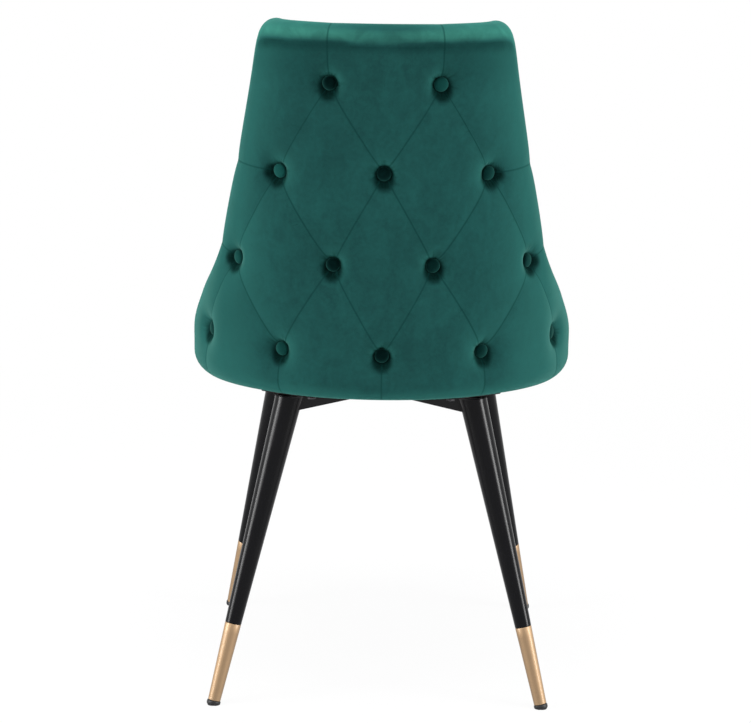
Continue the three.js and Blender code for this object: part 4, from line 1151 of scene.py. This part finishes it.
# ---- glides ------------------------------------------------------------------
# Moulded black plastic caps, pushed into the ends of the legs by a stem. The sole lies flat on the floor and
# has a rounded edge.
moulded_black = hard_finish(
    "moulded_black_plastic", (0.010, 0.010, 0.011), rough=0.48, metallic=0.0, grain=0.25, specular=0.25)
glide_profile = [  # radius, and distance along the leg's axis
    (0, -0.006), (0.0070, -0.006), (0.0082, -0.0004), (0.0088, 0.0006), (0.0090, 0.0016),
    (0.0090, glide_top - 0.0014), (0.0087, glide_top - 0.0005), (0.0080, glide_top), (0.0049, glide_top),
    (0.0049, glide_top + 0.015), (0.0039, glide_top + 0.016), (0, glide_top + 0.016),
]
for corner in leg_places:
    glide = solid_piece(f"{corner}_glide_cap", [turned(corner, glide_profile, level_low=0.0)], sharp=50)
    glide.data.materials.append(moulded_black)
    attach(glide, "root")
    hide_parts(f"glide_{corner}")

# ---- underframe --------------------------------------------------------------
# Steel plates on top of the legs, two crossed rectangular tubes between the legs, weld beads under the
# plates, and the bolts and screws. All but the beads keep their shapes from the model and are finished here.


def refinish(start, finish):
    """Gives the solids whose names start so another finish."""
    for node in [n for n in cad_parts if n.startswith(start)]:
        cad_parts[node].data.materials.clear()
        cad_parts[node].data.materials.append(finish)


zinc = hard_finish("zinc_plate", (0.55, 0.56, 0.58), rough=0.36, metallic=1.0, grain=0.2)
black_oxide = hard_finish("black_oxide", (0.016, 0.016, 0.018), rough=0.42, metallic=0.6, grain=0.2)
refinish(("leg_plate", "cross_bar"), black_coat)
refinish("ply_screw", zinc)
refinish(("leg_bolt", "centre_bolt"), black_oxide)
bead_size, bead_turns, bead_rows = 0.0034, 56, 6
bead_inside = leg_top_radius + 0.0006
bead_top = Vector((0, 0, 0.0001))
weld_parts = []
for corner in leg_places:
    low, way, length = leg_axis(corner)
    centre = Vector((*[low[k] + way[k] * length for k in (0, 1)], frame_top))
    points = []
    for t in range(bead_turns):
        angle = 2 * math.pi * t / bead_turns
        out = Vector((math.cos(angle), math.sin(angle), 0))
        for k in range(bead_rows):
            bend = math.pi * 0.5 * k / (bead_rows - 1)
            radius = bead_inside + bead_size * (1 - math.sin(bend))
            drop = bead_size * (1 - math.cos(bend))
            points.append(centre + out * radius - bead_top - Vector((0, 0, drop)))
        points.append(centre + out * bead_inside - bead_top)
    weld_parts.append((points, ring_faces(bead_turns, bead_rows + 1, around=True)))
welds = solid_piece("weld_beads", weld_parts, sharp=60)
welds.data.materials.append(black_coat)
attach(welds, "root")

# ---- board, plywood and dust cloth -------------------------------------------
# Birch plywood stained black, bent for the back and flat for the seat, under the padding. A black non-woven
# cloth is stapled over the underside.
birch, birch_tree, birch_shader = new_finish("birch_plywood", {"Roughness": 0.6, "Specular IOR Level": 0.12})
grain = noise(birch_tree, scale=4, detail=8, stretch=(4, 40, 60))
stained = mixed(grain, (0.006, 0.005, 0.004), (0.016, 0.012, 0.009))
birch_tree.links.new(stained, birch_shader.inputs["Base Color"])
refinish(("ply_back", "seat_board"), birch)
dust_cloth, dust_tree, dust_shader = new_finish("black_dust_cloth", {"Roughness": 0.95})
fibre_inputs = {"Vector": new_node(dust_tree, "ShaderNodeTexCoord")["Object"], "Scale": 450}
fibres = Varying(new_node(dust_tree, "ShaderNodeTexVoronoi", fibre_inputs)["Distance"])
fibre_colour = mixed(fibres, (0.006, 0.006, 0.006), (0.020, 0.020, 0.021))
surfaced(dust_shader, fibre_colour, fibres, strength=0.3, depth=0.0004)
refinish("dust_cover", dust_cloth)

# ---- staples -----------------------------------------------------------------
# Zinc-plated wire staples that hold the edge of the dust cloth to the board. They run all round near its
# edge; those that the leg plates cover are left out.
staple_half, staple_wire, staple_leg, staple_bend = 0.0052, 0.0005, 0.0008, 0.0003
staple_spacing = 0.034
staple_depth = 0.0416
edge_margin = 0.009
cloth_low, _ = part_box("dust_cover")
last_arc = float(wing_arc(cloth_low[1] + edge_margin - plan_shift, shell_foot))
edge_arcs = np.linspace(-last_arc, last_arc, 161)
edge_points = on_shell(edge_arcs, shell_foot, staple_depth)
edge_points = np.concatenate([edge_points, np.linspace(edge_points[-1], edge_points[0], 41)[1:-1]])
edge_points[:, 2] = cloth_low[2] - staple_wire
under_plate = np.zeros(len(edge_points), bool)
for node in [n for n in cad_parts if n.startswith("leg_plate")]:
    plate_low, plate_high = (np.array(corner[:2]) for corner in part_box(node))
    on_plan = edge_points[:, :2]
    inside_plate = (on_plan > plate_low - staple_half) & (on_plan < plate_high + staple_half)
    under_plate |= inside_plate.all(1)
edge_steps = [(i, (i + 1) % len(edge_points)) for i in range(len(edge_points))]
edge_steps = [(i, after) for i, after in edge_steps if not under_plate[i] and not under_plate[after]]
staples = new_piece("cloth_staples", edge_points.tolist(), edge_steps)
bent_wire = [  # along the staple and up, and the way the wire runs there
    (-staple_half, staple_leg, 0, 1), (-staple_half, 0.0001, 0.4, 1),
    (-staple_half + staple_bend, 0.0, 1, 0.2), (staple_half - staple_bend, 0.0, 1, -0.2),
    (staple_half, 0.0001, 0.4, -1), (staple_half, staple_leg, 0, -1),
]
wire_sides = 6
wire_points = []
for x, z, way_x, way_z in bent_wire:
    length = math.hypot(way_x, way_z)
    for k in range(wire_sides):
        turn = 2 * math.pi * k / wire_sides
        aside, up = staple_wire * math.cos(turn), staple_wire * math.sin(turn)
        wire_points.append((x - way_z / length * up, aside, z + way_x / length * up))
wire_ends = [tuple(range(wire_sides)), tuple(range(len(wire_points) - wire_sides, len(wire_points)))]
one_staple = solid_piece("one_staple", [(wire_points, ring_faces(len(bent_wire), wire_sides) + wire_ends)])
staple_inputs = {"Edge": "Geometry", "Spacing": "Float", "Staple": "Object", "Wire": "Material"}
staple_tree, staple_in = growing_tree("stapled_edge", staple_inputs)
edge_curve = new_node(staple_tree, "GeometryNodeMeshToCurve", {0: staple_in["Edge"]})[0]
spaced = {"Curve": edge_curve, "Length": staple_in["Spacing"]}
spaced = new_node(staple_tree, "GeometryNodeResampleCurve", spaced, mode="LENGTH")[0]
along_edge = new_node(staple_tree, "GeometryNodeInputTangent")[0]
staple_row = set_out(staple_tree, spaced, staple_in["Staple"], along_edge, axis="X")
end_tree(staple_tree, staple_row, staple_in["Wire"])
grown(staples, staple_tree, {"Spacing": staple_spacing, "Staple": one_staple, "Wire": zinc})
bpy.data.objects.remove(one_staple)
shade_smooth(staples, angle=50)
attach(staples, "root")
